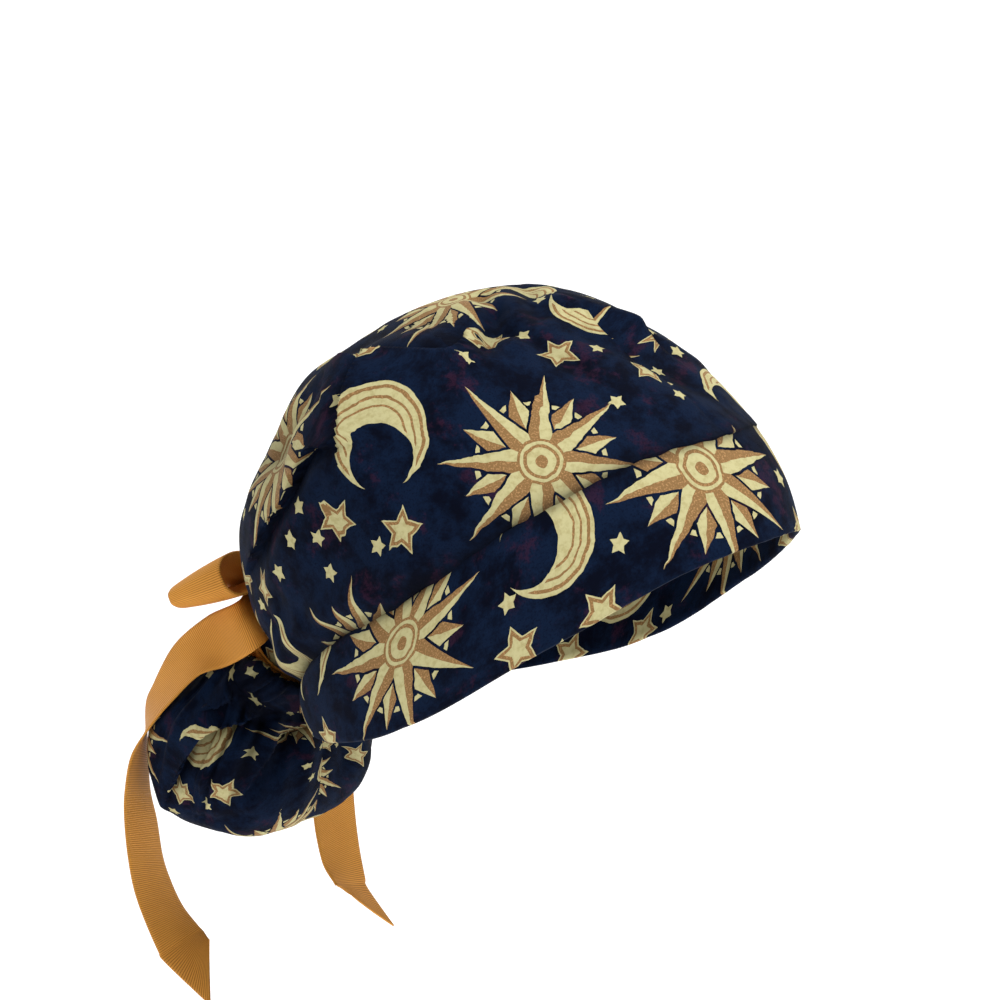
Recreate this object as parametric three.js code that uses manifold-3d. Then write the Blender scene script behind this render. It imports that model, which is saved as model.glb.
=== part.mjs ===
// A ponytail scrub cap: a soft crown gathered to a fitted band that wraps the forehead and ears,
// a hanging pouch that holds the wearer's hair, and a ribbon tied in a bow round the pouch's neck.
// Units are millimetres, +Z is up and the wearer faces -Y. The origin is the centre of the wearer's
// head at the height where a hat sits, so the cap lies round it as it does when it is worn.
import * as THREE from "three";
import { mergeVertices } from "three/addons/utils/BufferGeometryUtils.js";
import Module from "manifold-3d";

const wasm = await Module();
wasm.setup();

// The crown's foot is an egg-shaped ring in a plane that leans back, high at the forehead.
const CROWN_HALF_WIDTH = 78;
const CROWN_FRONT = 90;
const CROWN_BACK = 104;
const CROWN_HEIGHT = 98.5;
const CROWN_LEAN_DEG = 32.6;
const CROWN_FOOT_BACK = -7.4;
const CROWN_FOOT_UP = 18;
const CROWN_WALL = 1.5;

// The band runs from the crown's foot down to the open rim, which follows the face and the ears.
const RIM_HALF_WIDTH = 76;
const RIM_FRONT = 98;
const RIM_BACK = 76;
const RIM_FRONT_UP = 36.5;
const RIM_BACK_UP = -52;
const BAND_WALL = 2;
const BAND_BELLY = 2.5;
const SEAM_GAP = 0.5;
const SEAM_EASE = 0.73;

// The pouch's neck leaves the back of the crown square to its wall, and the bag hangs from it.
const NECK_HALF_WIDTH = 28;
const NECK_HALF_HEIGHT = 16;
const NECK_ABOVE_FOOT = 21;
const NECK_INSIDE = 11;
const NECK_OUTSIDE = 15;
const PLUG_DEPTH = 33;
const POUCH_WALL = 1.5;
const POUCH_HALF_WIDTH = 44;
const POUCH_BACK = 35;
const POUCH_FRONT = 26;
const POUCH_TOP = 31;
const POUCH_BOTTOM = 39;
const POUCH_ROUND_TOP = 2;
const POUCH_SQUARE_BOTTOM = 3.2;
const SQUARE_BELOW = -0.4;
const ROUND_ABOVE = 0.5;
const POUCH_SWELLS_BY = 0.3;
const GATHERS = 10;
const GATHER_REACH = 1.3;
const GATHERS_FULL_AT = 0.1;
const GATHERS_FADE_FROM = 0.15;
const GATHERS_GONE_AT = 0.5;
const POUCH_SET_BACK = 25.5;
const POUCH_DROP = 38.6;

// One ribbon is cinched round the neck and tied in a bow on top of it.
const RIBBON_WIDTH = 22;
const RIBBON_WALL = 1;
const COLLAR_WIDTH = 8;
const COLLAR_SET_IN = 1;
const KNOT_OUT = 13;
const KNOT_UP = 22.5;
const KNOT_HALF_WIDTH = 8;
const KNOT_HALF_DEPTH = 6.5;
const KNOT_HALF_HEIGHT = 5.5;
const LOOP_REACH = 44;
const LOOP_RISE = 7.7;
const LOOP_BULGE = 12.5;
const LOOP_TILT_DEG = 25.8;
const TAIL_SPREAD_RIGHT = 36;
const TAIL_SPREAD_LEFT = 54;
const TAIL_SET_BACK_RIGHT = 36;
const TAIL_SET_BACK_LEFT = 16;
const TAIL_DROP = 137;
const FIT_GAP = 0.38;

const COLUMNS = 60;
const CROWN_ROWS = 17;
const BAND_ROWS = 4;
const POUCH_COLUMNS = 40;
const POUCH_ROWS = 13;
const STEPS_PER_SECTION = 3;
const WELD = 1e-4;

const radians = THREE.MathUtils.degToRad;
const mix = THREE.MathUtils.lerp;
const smooth = THREE.MathUtils.smoothstep;
const at = (x, y, z) => new THREE.Vector3(x, y, z);

// Unit vectors of the leaning frame: acrossCap points to the wearer's left, backCap and upCap lean.
const lean = radians(CROWN_LEAN_DEG);
const backCap = at(0, Math.cos(lean), -Math.sin(lean));
const upCap = at(0, Math.sin(lean), Math.cos(lean));
const crownFoot = at(0, CROWN_FOOT_BACK, CROWN_FOOT_UP);
const inCap = (x, back, up) =>
  crownFoot.clone().add(at(x, 0, 0)).addScaledVector(backCap, back).addScaledVector(upCap, up);

// Sections of the crown from its foot to its top. rise is a share of CROWN_HEIGHT, middle of
// CROWN_BACK, front, back and width of the foot's own reaches.
const CROWN_SECTIONS = [
  { rise: 0.0, middle: 0.0, front: 1.0, back: 0.985, width: 1.0 },
  { rise: 0.045, middle: 0.0, front: 0.97, back: 1.0, width: 1.035 },
  { rise: 0.16, middle: 0.0, front: 0.93, back: 1.035, width: 1.045 },
  { rise: 0.34, middle: 0.0, front: 0.84, back: 1.055, width: 1.045 },
  { rise: 0.56, middle: 0.0, front: 0.71, back: 1.0, width: 0.985 },
  { rise: 0.76, middle: 0.03, front: 0.6, back: 0.79, width: 0.85 },
  { rise: 0.89, middle: 0.06, front: 0.45, back: 0.555, width: 0.65 },
  { rise: 0.965, middle: 0.1, front: 0.25, back: 0.34, width: 0.41 },
  { rise: 1.0, middle: 0.12, front: 0.0, back: 0.0, width: 0.0 },
];

// A smooth value between the rows of a table, at a share from its first row to its last.
function between(rows, column, share) {
  const place = THREE.MathUtils.clamp(share, 0, 1) * (rows.length - 1);
  const k = Math.min(Math.floor(place), rows.length - 2);
  const t = place - k;
  const value = (i) => rows[THREE.MathUtils.clamp(i, 0, rows.length - 1)][column];
  const [a, b, c, d] = [value(k - 1), value(k), value(k + 1), value(k + 2)];
  return b + 0.5 * t * (c - a + t * (2 * a - 5 * b + 4 * c - d + t * (3 * (b - c) + d - a)));
}

// An egg-shaped ring: turn 0 is the front and a quarter turn is the wearer's right.
const NARROWER_FRONT = 0.06;
function ring(turn, front, back, halfWidth) {
  const ahead = Math.cos(turn);
  const reach = ahead > 0 ? front : back;
  const narrow = 1 - NARROWER_FRONT * Math.max(ahead, 0);
  return [-halfWidth * narrow * Math.sin(turn), -reach * ahead];
}

function crownSurface(share, turn) {
  const size = (column) => between(CROWN_SECTIONS, column, share);
  const [x, back] = ring(turn, size("front") * CROWN_FRONT, size("back") * CROWN_BACK,
    size("width") * CROWN_HALF_WIDTH);
  return inCap(x, back + size("middle") * CROWN_BACK, size("rise") * CROWN_HEIGHT);
}

// Creases of the crown, each a straight line on the cloth between two places. turn is in degrees and
// rise a share of the way up. A reach above zero is a ridge, below zero a valley, and width is how
// far to either side it is felt: shares of the two sizes named here.
const CREASE_REACH = 5;
const CREASE_WIDTH = 10;
const CROWN_CREASES = [
  { turn: 99, rise: 0.82, toTurn: 72, toRise: 0.7, reach: 0.6, width: 0.8 },
  { turn: 72, rise: 0.7, toTurn: 50, toRise: 0.6, reach: 0.6, width: 0.8 },
  { turn: 50, rise: 0.6, toTurn: 24, toRise: 0.66, reach: 0.5, width: 0.8 },
  { turn: 85, rise: 0.86, toTurn: 45, toRise: 0.76, reach: -0.6, width: 1.3 },
  { turn: 38, rise: 0.57, toTurn: 22, toRise: 0.67, reach: -0.6, width: 0.6 },
  { turn: 79, rise: 0.68, toTurn: 87, toRise: 0.55, reach: 0.6, width: 0.7 },
  { turn: 92, rise: 0.6, toTurn: 104, toRise: 0.52, reach: -0.7, width: 0.9 },
  { turn: 104, rise: 0.52, toTurn: 129, toRise: 0.45, reach: -0.7, width: 1 },
  { turn: 92, rise: 0.5, toTurn: 118, toRise: 0.38, reach: 0.5, width: 0.9 },
  { turn: 12, rise: 0.6, toTurn: 352, toRise: 0.72, reach: -0.5, width: 0.7 },
  { turn: 3, rise: 0.6, toTurn: 351, toRise: 0.5, reach: 0.5, width: 0.8 },
  { turn: 351, rise: 0.5, toTurn: 336, toRise: 0.4, reach: 0.6, width: 0.8 },
  { turn: 336, rise: 0.4, toTurn: 348, toRise: 0.22, reach: 0.6, width: 0.8 },
  { turn: 6, rise: 0.5, toTurn: 352, toRise: 0.32, reach: -0.5, width: 0.9 },
  { turn: 262, rise: 0.8, toTurn: 292, toRise: 0.68, reach: 0.6, width: 0.8 },
  { turn: 292, rise: 0.68, toTurn: 318, toRise: 0.6, reach: 0.5, width: 0.8 },
  { turn: 266, rise: 0.58, toTurn: 236, toRise: 0.46, reach: -0.7, width: 1 },
  { turn: 262, rise: 0.48, toTurn: 244, toRise: 0.38, reach: 0.5, width: 0.9 },
  { turn: 158, rise: 0.4, toTurn: 146, toRise: 0.62, reach: -0.6, width: 0.8 },
  { turn: 180, rise: 0.46, toTurn: 184, toRise: 0.66, reach: -0.6, width: 0.8 },
  { turn: 204, rise: 0.4, toTurn: 216, toRise: 0.6, reach: -0.6, width: 0.8 },
];

// The pouch's creases: rise counts from its neck at 0 to its bottom at 1.
const POUCH_CREASES = [
  { turn: 150, rise: 0.58, toTurn: 195, toRise: 0.32, reach: -0.8, width: 0.6 },
  { turn: 195, rise: 0.32, toTurn: 216, toRise: 0.12, reach: -0.8, width: 0.6 },
  { turn: 140, rise: 0.44, toTurn: 184, toRise: 0.24, reach: 0.2, width: 0.9 },
  { turn: 30, rise: 0.58, toTurn: 345, toRise: 0.32, reach: -0.8, width: 0.6 },
  { turn: 345, rise: 0.32, toTurn: 324, toRise: 0.12, reach: -0.8, width: 0.6 },
];

const creaseLines = (creases, surface) => creases.map((crease) => ({
  ...crease,
  line: new THREE.Line3(surface(crease.rise, radians(crease.turn)),
    surface(crease.toRise, radians(crease.toTurn))),
}));

// A point of the plain surface, moved away from the middle of its hollow by the creases near it.
function creased(point, lines, middle) {
  const outward = point.clone().sub(middle).normalize();
  const nearest = new THREE.Vector3();
  let lift = 0;
  for (const { line, reach, width } of lines) {
    line.closestPointToPoint(point, true, nearest);
    const away = point.distanceTo(nearest) / (width * CREASE_WIDTH);
    lift += reach * CREASE_REACH * Math.exp(-(away ** 2));
  }
  return point.clone().addScaledVector(outward, lift);
}

// The band's two edges, a row for every 30 degrees from the front to the back, and one row more
// beyond each end to keep the curves level there. seam is how far up the crown the band reaches, as a
// share of its height. rim is where the open edge lies between its back and its front.
const BAND_EDGES = [
  { seam: 0.074, rim: 0.919 },
  { seam: 0.048, rim: 1.0 },
  { seam: 0.074, rim: 0.919 },
  { seam: 0.059, rim: 0.636 },
  { seam: 0.02, rim: 0.288 },
  { seam: 0.04, rim: 0.136 },
  { seam: 0.01, rim: 0.073 },
  { seam: 0.0, rim: 0.0 },
  { seam: 0.01, rim: 0.073 },
];

function bandEdge(column, turn) {
  const fromFront = Math.abs(THREE.MathUtils.euclideanModulo(turn + Math.PI, 2 * Math.PI) - Math.PI);
  const row = Math.PI / (BAND_EDGES.length - 3);
  return between(BAND_EDGES, column, (fromFront + row) / (Math.PI + 2 * row));
}

// The crown's share at which it has risen so much, found by halving.
function shareAtRise(rise) {
  let [low, high] = [0, 1];
  for (let step = 0; step < 30; step++) {
    const half = (low + high) / 2;
    if (between(CROWN_SECTIONS, "rise", half) < rise) low = half;
    else high = half;
  }
  return low;
}

const seamPoint = (turn) => crownSurface(shareAtRise(bandEdge("seam", turn)), turn);

function rimPoint(turn) {
  const [x, y] = ring(turn, RIM_FRONT, RIM_BACK, RIM_HALF_WIDTH);
  return at(x, y, mix(RIM_BACK_UP, RIM_FRONT_UP, bandEdge("rim", turn)));
}

function bandSurface(share, turn) {
  const point = rimPoint(turn).lerp(seamPoint(turn), share);
  const outward = at(point.x, point.y, 0).normalize();
  return point.addScaledVector(outward, BAND_BELLY * Math.sin(Math.PI * share));
}

// Points in rows that each go once round, as a closed wall of the given thickness.
function wall(rows, thickness, closedTop) {
  const columns = rows[0].length;
  const outer = rows.flat();
  const normals = outer.map(() => at(0, 0, 0));
  const faces = [];
  const corner = (row, column) =>
    closedTop && row === rows.length - 1 ? row * columns : row * columns + (column % columns);
  for (let row = 0; row < rows.length - 1; row++)
    for (let column = 0; column < columns; column++) {
      const [a, b] = [corner(row, column), corner(row, column + 1)];
      const [c, d] = [corner(row + 1, column + 1), corner(row + 1, column)];
      faces.push([a, c, b]);
      if (c !== d) faces.push([a, d, c]);
    }
  const edge = new THREE.Vector3();
  const side = new THREE.Vector3();
  for (const [a, b, c] of faces) {
    edge.subVectors(outer[b], outer[a]);
    side.subVectors(outer[c], outer[a]);
    edge.cross(side);
    for (const i of [a, b, c]) normals[i].add(edge);
  }
  const inner = outer.map((point, i) =>
    point.clone().addScaledVector(normals[i].normalize(), -thickness));
  const count = outer.length;
  const all = faces.flatMap(([a, b, c]) => [a, b, c, count + a, count + c, count + b]);
  const rimRows = closedTop ? [0] : [0, rows.length - 1];
  for (const row of rimRows)
    for (let column = 0; column < columns; column++) {
      const [a, b] = [corner(row, column), corner(row, column + 1)];
      const [from, to] = row === 0 ? [a, b] : [b, a];
      all.push(from, to, count + to, from, count + to, count + from);
    }
  return geometryOf([...outer, ...inner], all);
}

function geometryOf(points, indices) {
  const geometry = new THREE.BufferGeometry().setFromPoints(points);
  geometry.setIndex(indices);
  return geometry;
}

function solidOf(geometry) {
  const bare = geometry.clone();
  bare.deleteAttribute("normal");
  bare.deleteAttribute("uv");
  const merged = mergeVertices(bare, WELD);
  return new wasm.Manifold(new wasm.Mesh({
    numProp: 3,
    vertProperties: merged.attributes.position.array,
    triVerts: new Uint32Array(merged.index.array),
  }));
}

function geometryFrom(solid) {
  const mesh = solid.getMesh();
  const geometry = new THREE.BufferGeometry();
  geometry.setAttribute("position", new THREE.BufferAttribute(mesh.vertProperties, 3));
  geometry.setIndex(new THREE.BufferAttribute(mesh.triVerts, 1));
  return geometry;
}

const cut = (geometry, ...tools) =>
  geometryFrom(tools.reduce((solid, tool) => solid.subtract(solidOf(tool)), solidOf(geometry)));

const shares = (count) => Array.from({ length: count + 1 }, (_, i) => i / count);
const turns = (count) => Array.from({ length: count }, (_, i) => (2 * Math.PI * i) / count);

function crownGeometry() {
  const start = (turn) => shareAtRise(bandEdge("seam", turn) + SEAM_EASE / CROWN_HEIGHT);
  const lines = creaseLines(CROWN_CREASES, crownSurface);
  const rows = shares(CROWN_ROWS).map((share) => turns(COLUMNS).map((turn) =>
    creased(crownSurface(mix(start(turn), 1, share), turn), lines, inCap(0, 0, CROWN_HEIGHT / 3))));
  return wall(rows, CROWN_WALL, true);
}

function bandGeometry() {
  const rows = shares(BAND_ROWS).map((share) =>
    turns(COLUMNS).map((turn) => bandSurface(share, turn).addScaledVector(upCap, -SEAM_GAP * share)));
  return wall(rows, BAND_WALL, false);
}

// The neck's frame: its middle on the crown's wall, with backCap as its axis and upCap as its up.
const neckMiddle = inCap(0, CROWN_BACK, NECK_ABOVE_FOOT);
const inNeck = (x, out, up) =>
  neckMiddle.clone().add(at(x, 0, 0)).addScaledVector(backCap, out).addScaledVector(upCap, up);
const neckRing = (turn, out, grow) =>
  inNeck((NECK_HALF_WIDTH + grow) * Math.cos(turn), out, (NECK_HALF_HEIGHT + grow) * Math.sin(turn));

// A solid oval plug along the neck, grown by a clearance, that cuts the neck's way through the crown.
function neckPlug(grow) {
  const ends = [-PLUG_DEPTH, NECK_OUTSIDE].map((out) =>
    turns(POUCH_COLUMNS).map((turn) => neckRing(turn, out, grow)));
  const points = [...ends.flat(), inNeck(0, -PLUG_DEPTH, 0), inNeck(0, NECK_OUTSIDE, 0)];
  const indices = [];
  const count = POUCH_COLUMNS;
  for (let i = 0; i < count; i++) {
    const j = (i + 1) % count;
    indices.push(i, count + j, j, i, count + i, count + j);
    indices.push(j, 2 * count, i, count + i, 2 * count + 1, count + j);
  }
  return geometryOf(points, indices);
}

const pouchMiddle = neckMiddle.clone().add(at(0, POUCH_SET_BACK, -POUCH_DROP));
const mouthWay = inNeck(0, NECK_OUTSIDE, 0).sub(pouchMiddle).normalize();

// How far the stuffed bag reaches from its middle in a direction.
function bagReach(way) {
  const depth = way.y > 0 ? POUCH_BACK : POUCH_FRONT;
  const height = way.z > 0 ? POUCH_TOP : POUCH_BOTTOM;
  const power = mix(POUCH_SQUARE_BOTTOM, POUCH_ROUND_TOP, smooth(way.z, SQUARE_BELOW, ROUND_ABOVE));
  const share = (length, half) => (Math.abs(length) / half) ** power;
  const whole = share(way.x, POUCH_HALF_WIDTH) + share(way.y, depth) + share(way.z, height);
  return whole ** (-1 / power);
}

// share 0 is the neck's outer end and 1 the bag's bottom.
function pouchSurface(share, turn) {
  const start = neckRing(turn, NECK_OUTSIDE, 0).sub(pouchMiddle);
  const startReach = start.length();
  const from = start.normalize();
  const bottom = mouthWay.clone().negate();
  const axis = from.clone().cross(bottom).normalize();
  const way = from.clone().applyAxisAngle(axis, from.angleTo(bottom) * share);
  const reach = mix(startReach, bagReach(way), smooth(share, 0, POUCH_SWELLS_BY));
  return pouchMiddle.clone().addScaledVector(way, reach);
}

function pouchGeometry() {
  const collar = [-NECK_INSIDE, 0].map((out) => turns(POUCH_COLUMNS).map((turn) => neckRing(turn, out, 0)));
  const lines = creaseLines(POUCH_CREASES, pouchSurface);
  const bag = shares(POUCH_ROWS).map((share) => turns(POUCH_COLUMNS).map((turn) => {
    const reach = GATHER_REACH * smooth(share, 0, GATHERS_FULL_AT)
      * (1 - smooth(share, GATHERS_FADE_FROM, GATHERS_GONE_AT));
    const point = creased(pouchSurface(share, turn), lines, pouchMiddle);
    const outward = point.clone().sub(pouchMiddle).normalize();
    return point.addScaledVector(outward, reach * Math.cos(GATHERS * turn));
  }));
  return wall([...collar, ...bag], POUCH_WALL, true);
}

// A flat strip along sections, each a middle point and half the ribbon's width as a vector.
function strip(sections) {
  const middles = new THREE.CatmullRomCurve3(sections.map((s) => s.middle));
  const halves = new THREE.CatmullRomCurve3(sections.map((s) => s.half));
  const steps = STEPS_PER_SECTION * (sections.length - 1);
  const points = [];
  for (const share of shares(steps)) {
    const middle = middles.getPoint(share);
    const half = halves.getPoint(share);
    const lift = middles.getTangent(share).cross(half).setLength(RIBBON_WALL / 2);
    for (const [side, face] of [[-1, -1], [1, -1], [1, 1], [-1, 1]])
      points.push(middle.clone().addScaledVector(half, side).addScaledVector(lift, face));
  }
  const indices = [0, 2, 1, 0, 3, 2];
  for (let k = 0; k < steps; k++)
    for (let i = 0; i < 4; i++) {
      const [a, b] = [4 * k + i, 4 * k + ((i + 1) % 4)];
      indices.push(a, b, b + 4, a, b + 4, a + 4);
    }
  const end = 4 * steps;
  indices.push(end, end + 1, end + 2, end, end + 2, end + 3);
  return geometryOf(points, indices);
}

const knotMiddle = inNeck(0, KNOT_OUT, KNOT_UP);

function knotGeometry(grow) {
  const knot = new THREE.SphereGeometry(1, 16, 10);
  knot.scale(KNOT_HALF_WIDTH + grow, KNOT_HALF_DEPTH + grow, KNOT_HALF_HEIGHT + grow);
  knot.rotateX(-lean);
  return knot.translate(knotMiddle.x, knotMiddle.y, knotMiddle.z);
}

function collarGeometry() {
  const rows = [COLLAR_WIDTH, 0].map((width) => NECK_OUTSIDE - COLLAR_SET_IN - width).map((out) =>
    turns(POUCH_COLUMNS).map((turn) => neckRing(turn, out, FIT_GAP + RIBBON_WALL)));
  return wall(rows, RIBBON_WALL, false);
}

// The bow's loop goes out to one side and back: along is a share of LOOP_REACH, up of LOOP_RISE,
// wide of LOOP_BULGE, back and full of RIBBON_WIDTH, full being how wide the pinched ribbon is.
const LOOP_ROWS = [
  { along: 0.08, up: 0.15, wide: 0.05, back: 0.0, full: 0.42 },
  { along: 0.3, up: 0.75, wide: 0.24, back: -0.04, full: 0.72 },
  { along: 0.62, up: 1.0, wide: 0.48, back: -0.1, full: 1 },
  { along: 0.92, up: 1.0, wide: 0.34, back: -0.17, full: 1 },
  { along: 1.0, up: 1.0, wide: 0.0, back: -0.18, full: 1 },
  { along: 0.92, up: 1.0, wide: -0.34, back: -0.17, full: 1 },
  { along: 0.62, up: 1.0, wide: -0.48, back: -0.1, full: 1 },
  { along: 0.3, up: 0.75, wide: -0.24, back: -0.04, full: 0.72 },
  { along: 0.08, up: 0.15, wide: -0.05, back: 0.0, full: 0.42 },
];
const loopTilt = radians(LOOP_TILT_DEG);
const loopBack = at(0, Math.cos(loopTilt), -Math.sin(loopTilt));
const loopUp = at(0, Math.sin(loopTilt), Math.cos(loopTilt));

function loopGeometry(side) {
  const sections = LOOP_ROWS.map(({ along, up, wide, back, full }) => ({
    middle: knotMiddle.clone()
      .add(at(side * along * LOOP_REACH, 0, 0))
      .addScaledVector(loopUp, up * LOOP_RISE + wide * LOOP_BULGE)
      .addScaledVector(loopBack, back * RIBBON_WIDTH),
    half: loopBack.clone().setLength((full * RIBBON_WIDTH) / 2),
  }));
  return cut(strip(sections), knotGeometry(FIT_GAP));
}

// The bow's tail arches off the knot over the pouch's shoulder and hangs behind it. side is a share
// of the tail's spread, back of its set-back and down of TAIL_DROP. across, ahead and below are the
// direction of the ribbon's width, and full how much of that width the pinched ribbon keeps.
const TAIL_ROWS = [
  { side: 0.1, back: 0.0, down: 0.01, across: 0, ahead: 0.84, below: -0.4, full: 0.4 },
  { side: 0.46, back: -0.1, down: 0.012, across: 0.1, ahead: 0.95, below: -0.12, full: 0.65 },
  { side: 0.93, back: -0.43, down: 0.058, across: 0.37, ahead: 0.71, below: 0.59, full: 1 },
  { side: 0.93, back: -0.06, down: 0.105, across: 0.32, ahead: 0.68, below: 0.66, full: 1 },
  { side: 0.98, back: 0.3, down: 0.16, across: 0.45, ahead: 0.84, below: 0.29, full: 1 },
  { side: 1.01, back: 0.6, down: 0.26, across: 0.58, ahead: 0.81, below: 0.05, full: 1 },
  { side: 1, back: 0.79, down: 0.33, across: 0.71, ahead: 0.7, below: 0.03, full: 1 },
  { side: 1, back: 0.92, down: 0.44, across: 0.87, ahead: 0.43, below: -0.24, full: 1 },
  { side: 0.99, back: 0.97, down: 0.54, across: 0.91, ahead: 0.3, below: -0.28, full: 1 },
  { side: 0.99, back: 0.94, down: 0.62, across: 0.93, ahead: 0.15, below: -0.33, full: 1 },
  { side: 0.99, back: 0.89, down: 0.72, across: 0.95, ahead: 0.1, below: -0.28, full: 1 },
  { side: 0.99, back: 0.8, down: 0.8, across: 0.99, ahead: 0.06, below: -0.13, full: 1 },
  { side: 0.99, back: 0.66, down: 0.87, across: 1, ahead: 0.02, below: -0.02, full: 1 },
  { side: 1, back: 0.47, down: 0.93, across: 0.98, ahead: -0.05, below: 0.19, full: 1 },
  { side: 1, back: 0.39, down: 0.95, across: 0.95, ahead: -0.03, below: 0.3, full: 1 },
  { side: 1.03, back: 0.04, down: 1, across: 0.59, ahead: 0.5, below: 0.63, full: 1.29 },
];

function tailGeometry(side, spread, setBack) {
  const sections = TAIL_ROWS.map((row) => ({
    middle: knotMiddle.clone().add(at(side * row.side * spread, row.back * setBack, -row.down * TAIL_DROP)),
    half: at(side * row.across, -row.ahead, -row.below).setLength((row.full * RIBBON_WIDTH) / 2),
  }));
  return cut(strip(sections), knotGeometry(FIT_GAP));
}

const cloth = new THREE.MeshStandardMaterial({ color: 0x141c3c, roughness: 0.85, metalness: 0 });
const ribbon = new THREE.MeshStandardMaterial({ color: 0xb9792e, roughness: 0.6, metalness: 0 });

const cap = new THREE.Group();
function piece(name, geometry, material) {
  const mesh = new THREE.Mesh(geometry, material);
  mesh.name = name;
  cap.add(mesh);
}

piece("crown", cut(crownGeometry(), neckPlug(FIT_GAP)), cloth);
piece("front_band", bandGeometry(), cloth);
piece("ponytail_pouch", pouchGeometry(), cloth);
piece("tie_collar", cut(collarGeometry(), knotGeometry(FIT_GAP)), ribbon);
piece("bow_knot", knotGeometry(0), ribbon);
piece("bow_loop_right", loopGeometry(-1), ribbon);
piece("bow_loop_left", loopGeometry(1), ribbon);
piece("bow_tail_right", tailGeometry(-1, TAIL_SPREAD_RIGHT, TAIL_SET_BACK_RIGHT), ribbon);
piece("bow_tail_left", tailGeometry(1, TAIL_SPREAD_LEFT, TAIL_SET_BACK_LEFT), ribbon);

export default cap;
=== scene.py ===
# %% [markdown]
# # A ponytail scrub cap, dressed for its photograph
# The packed model gives the cap's solids in metres: +Z is up, the cap's front faces -Y, and the origin
# is the middle of the space inside it. This lesson sews finer cloth over those solids, prints it, and
# ties the ribbon. Sizes are written in millimetres, as on a sewing pattern, and turn into metres only
# when a mesh is made.

# %% Load the frame
import math

import bmesh
import bpy
import numpy as np
from mathutils import Vector, Matrix, noise
from mathutils.bvhtree import BVHTree


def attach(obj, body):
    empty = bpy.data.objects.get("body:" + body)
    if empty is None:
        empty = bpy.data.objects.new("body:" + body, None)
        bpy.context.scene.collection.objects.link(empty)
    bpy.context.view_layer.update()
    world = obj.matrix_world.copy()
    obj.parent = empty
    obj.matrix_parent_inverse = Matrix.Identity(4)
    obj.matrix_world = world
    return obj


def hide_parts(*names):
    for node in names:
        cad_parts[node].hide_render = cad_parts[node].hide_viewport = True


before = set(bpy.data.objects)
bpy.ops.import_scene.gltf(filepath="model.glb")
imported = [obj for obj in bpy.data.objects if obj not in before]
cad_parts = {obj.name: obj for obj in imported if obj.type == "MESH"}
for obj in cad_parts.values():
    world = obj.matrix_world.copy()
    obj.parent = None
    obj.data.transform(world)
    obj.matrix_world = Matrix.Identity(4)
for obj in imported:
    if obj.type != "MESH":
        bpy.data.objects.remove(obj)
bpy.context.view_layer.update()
MM = 0.001
print("solids:", sorted(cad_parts))

# %% [markdown]
# The photograph looks at the cap's right side, a third of the way round to the front and a little from
# above. The camera could be turned by hand until the picture looks right. It is worked out from two
# angles instead, so that a distance in the picture can be turned back into millimetres on the cap.

# %% Which way the camera looks
VIEW_AZIMUTH = math.radians(-55)
VIEW_ELEVATION = math.radians(12)

view_back = np.array([
    math.sin(VIEW_AZIMUTH) * math.cos(VIEW_ELEVATION),
    -math.cos(VIEW_AZIMUTH) * math.cos(VIEW_ELEVATION),
    math.sin(VIEW_ELEVATION),
])
view_right = np.array([math.cos(VIEW_AZIMUTH), math.sin(VIEW_AZIMUTH), 0.0])
view_up = np.cross(view_back, view_right)
print("camera looks along", np.round(-view_back, 3))

# %% [markdown]
# A short lens would swell the near side of the cap. A long one from more than a metre away keeps the far
# side nearly as large as the near side, as in the photograph. The lens follows from the distance and
# from how many pixels a millimetre covers.

# %% Where the camera stands
PIXELS_PER_MM = 2.9
CAMERA_DISTANCE = 1250
PICTURE_SIDE = 1000
ORIGIN_PIXEL = (532, 606)

aside = (PICTURE_SIDE / 2 - ORIGIN_PIXEL[0]) / PIXELS_PER_MM
above = (ORIGIN_PIXEL[1] - PICTURE_SIDE / 2) / PIXELS_PER_MM
eye = aside * view_right + above * view_up + CAMERA_DISTANCE * view_back
print("camera stands at", np.round(eye * MM, 3))

# %% The camera itself
SENSOR_WIDTH = 36

camera_data = bpy.data.cameras.new("camera")
camera_data.sensor_width = SENSOR_WIDTH
camera_data.lens = SENSOR_WIDTH * PIXELS_PER_MM * CAMERA_DISTANCE / PICTURE_SIDE
camera_data.clip_end = 20
camera = bpy.data.objects.new("camera", camera_data)
bpy.context.collection.objects.link(camera)
view_axes = Matrix(np.column_stack([view_right, view_up, view_back]).tolist()).to_4x4()
camera.matrix_world = Matrix.Translation(Vector(eye * MM)) @ view_axes
bpy.context.scene.camera = camera
print("lens", round(camera_data.lens, 1), "mm")

# %% [markdown]
# The cap stands before plain white paper. A studio hangs a roll of it and lets it curve from floor to
# wall, so that no line shows where they meet. A flat floor would show its far edge, so the same curve is
# built here as one strip of faces.

# %% The paper's profile
FLOOR_DROP = 330
FLOOR_REACH = 3000
SWEEP_RADIUS = 900
SWEEP_STEPS = 12


def sweep_profile():
    """How far towards the camera, and how high, the paper is at each step of its curve."""
    start = -FLOOR_REACH * 0.4
    profile = [(FLOOR_REACH, 0), (start, 0)]
    for step in range(1, SWEEP_STEPS + 1):
        bend = math.radians(90 * step / SWEEP_STEPS)
        profile.append((start - SWEEP_RADIUS * math.sin(bend), SWEEP_RADIUS * (1 - math.cos(bend))))
    profile.append((start - SWEEP_RADIUS, FLOOR_REACH))
    return profile


print("paper profile has", len(sweep_profile()), "points")

# %% The paper's finish
PAPER_GLOW = 0.34


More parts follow.
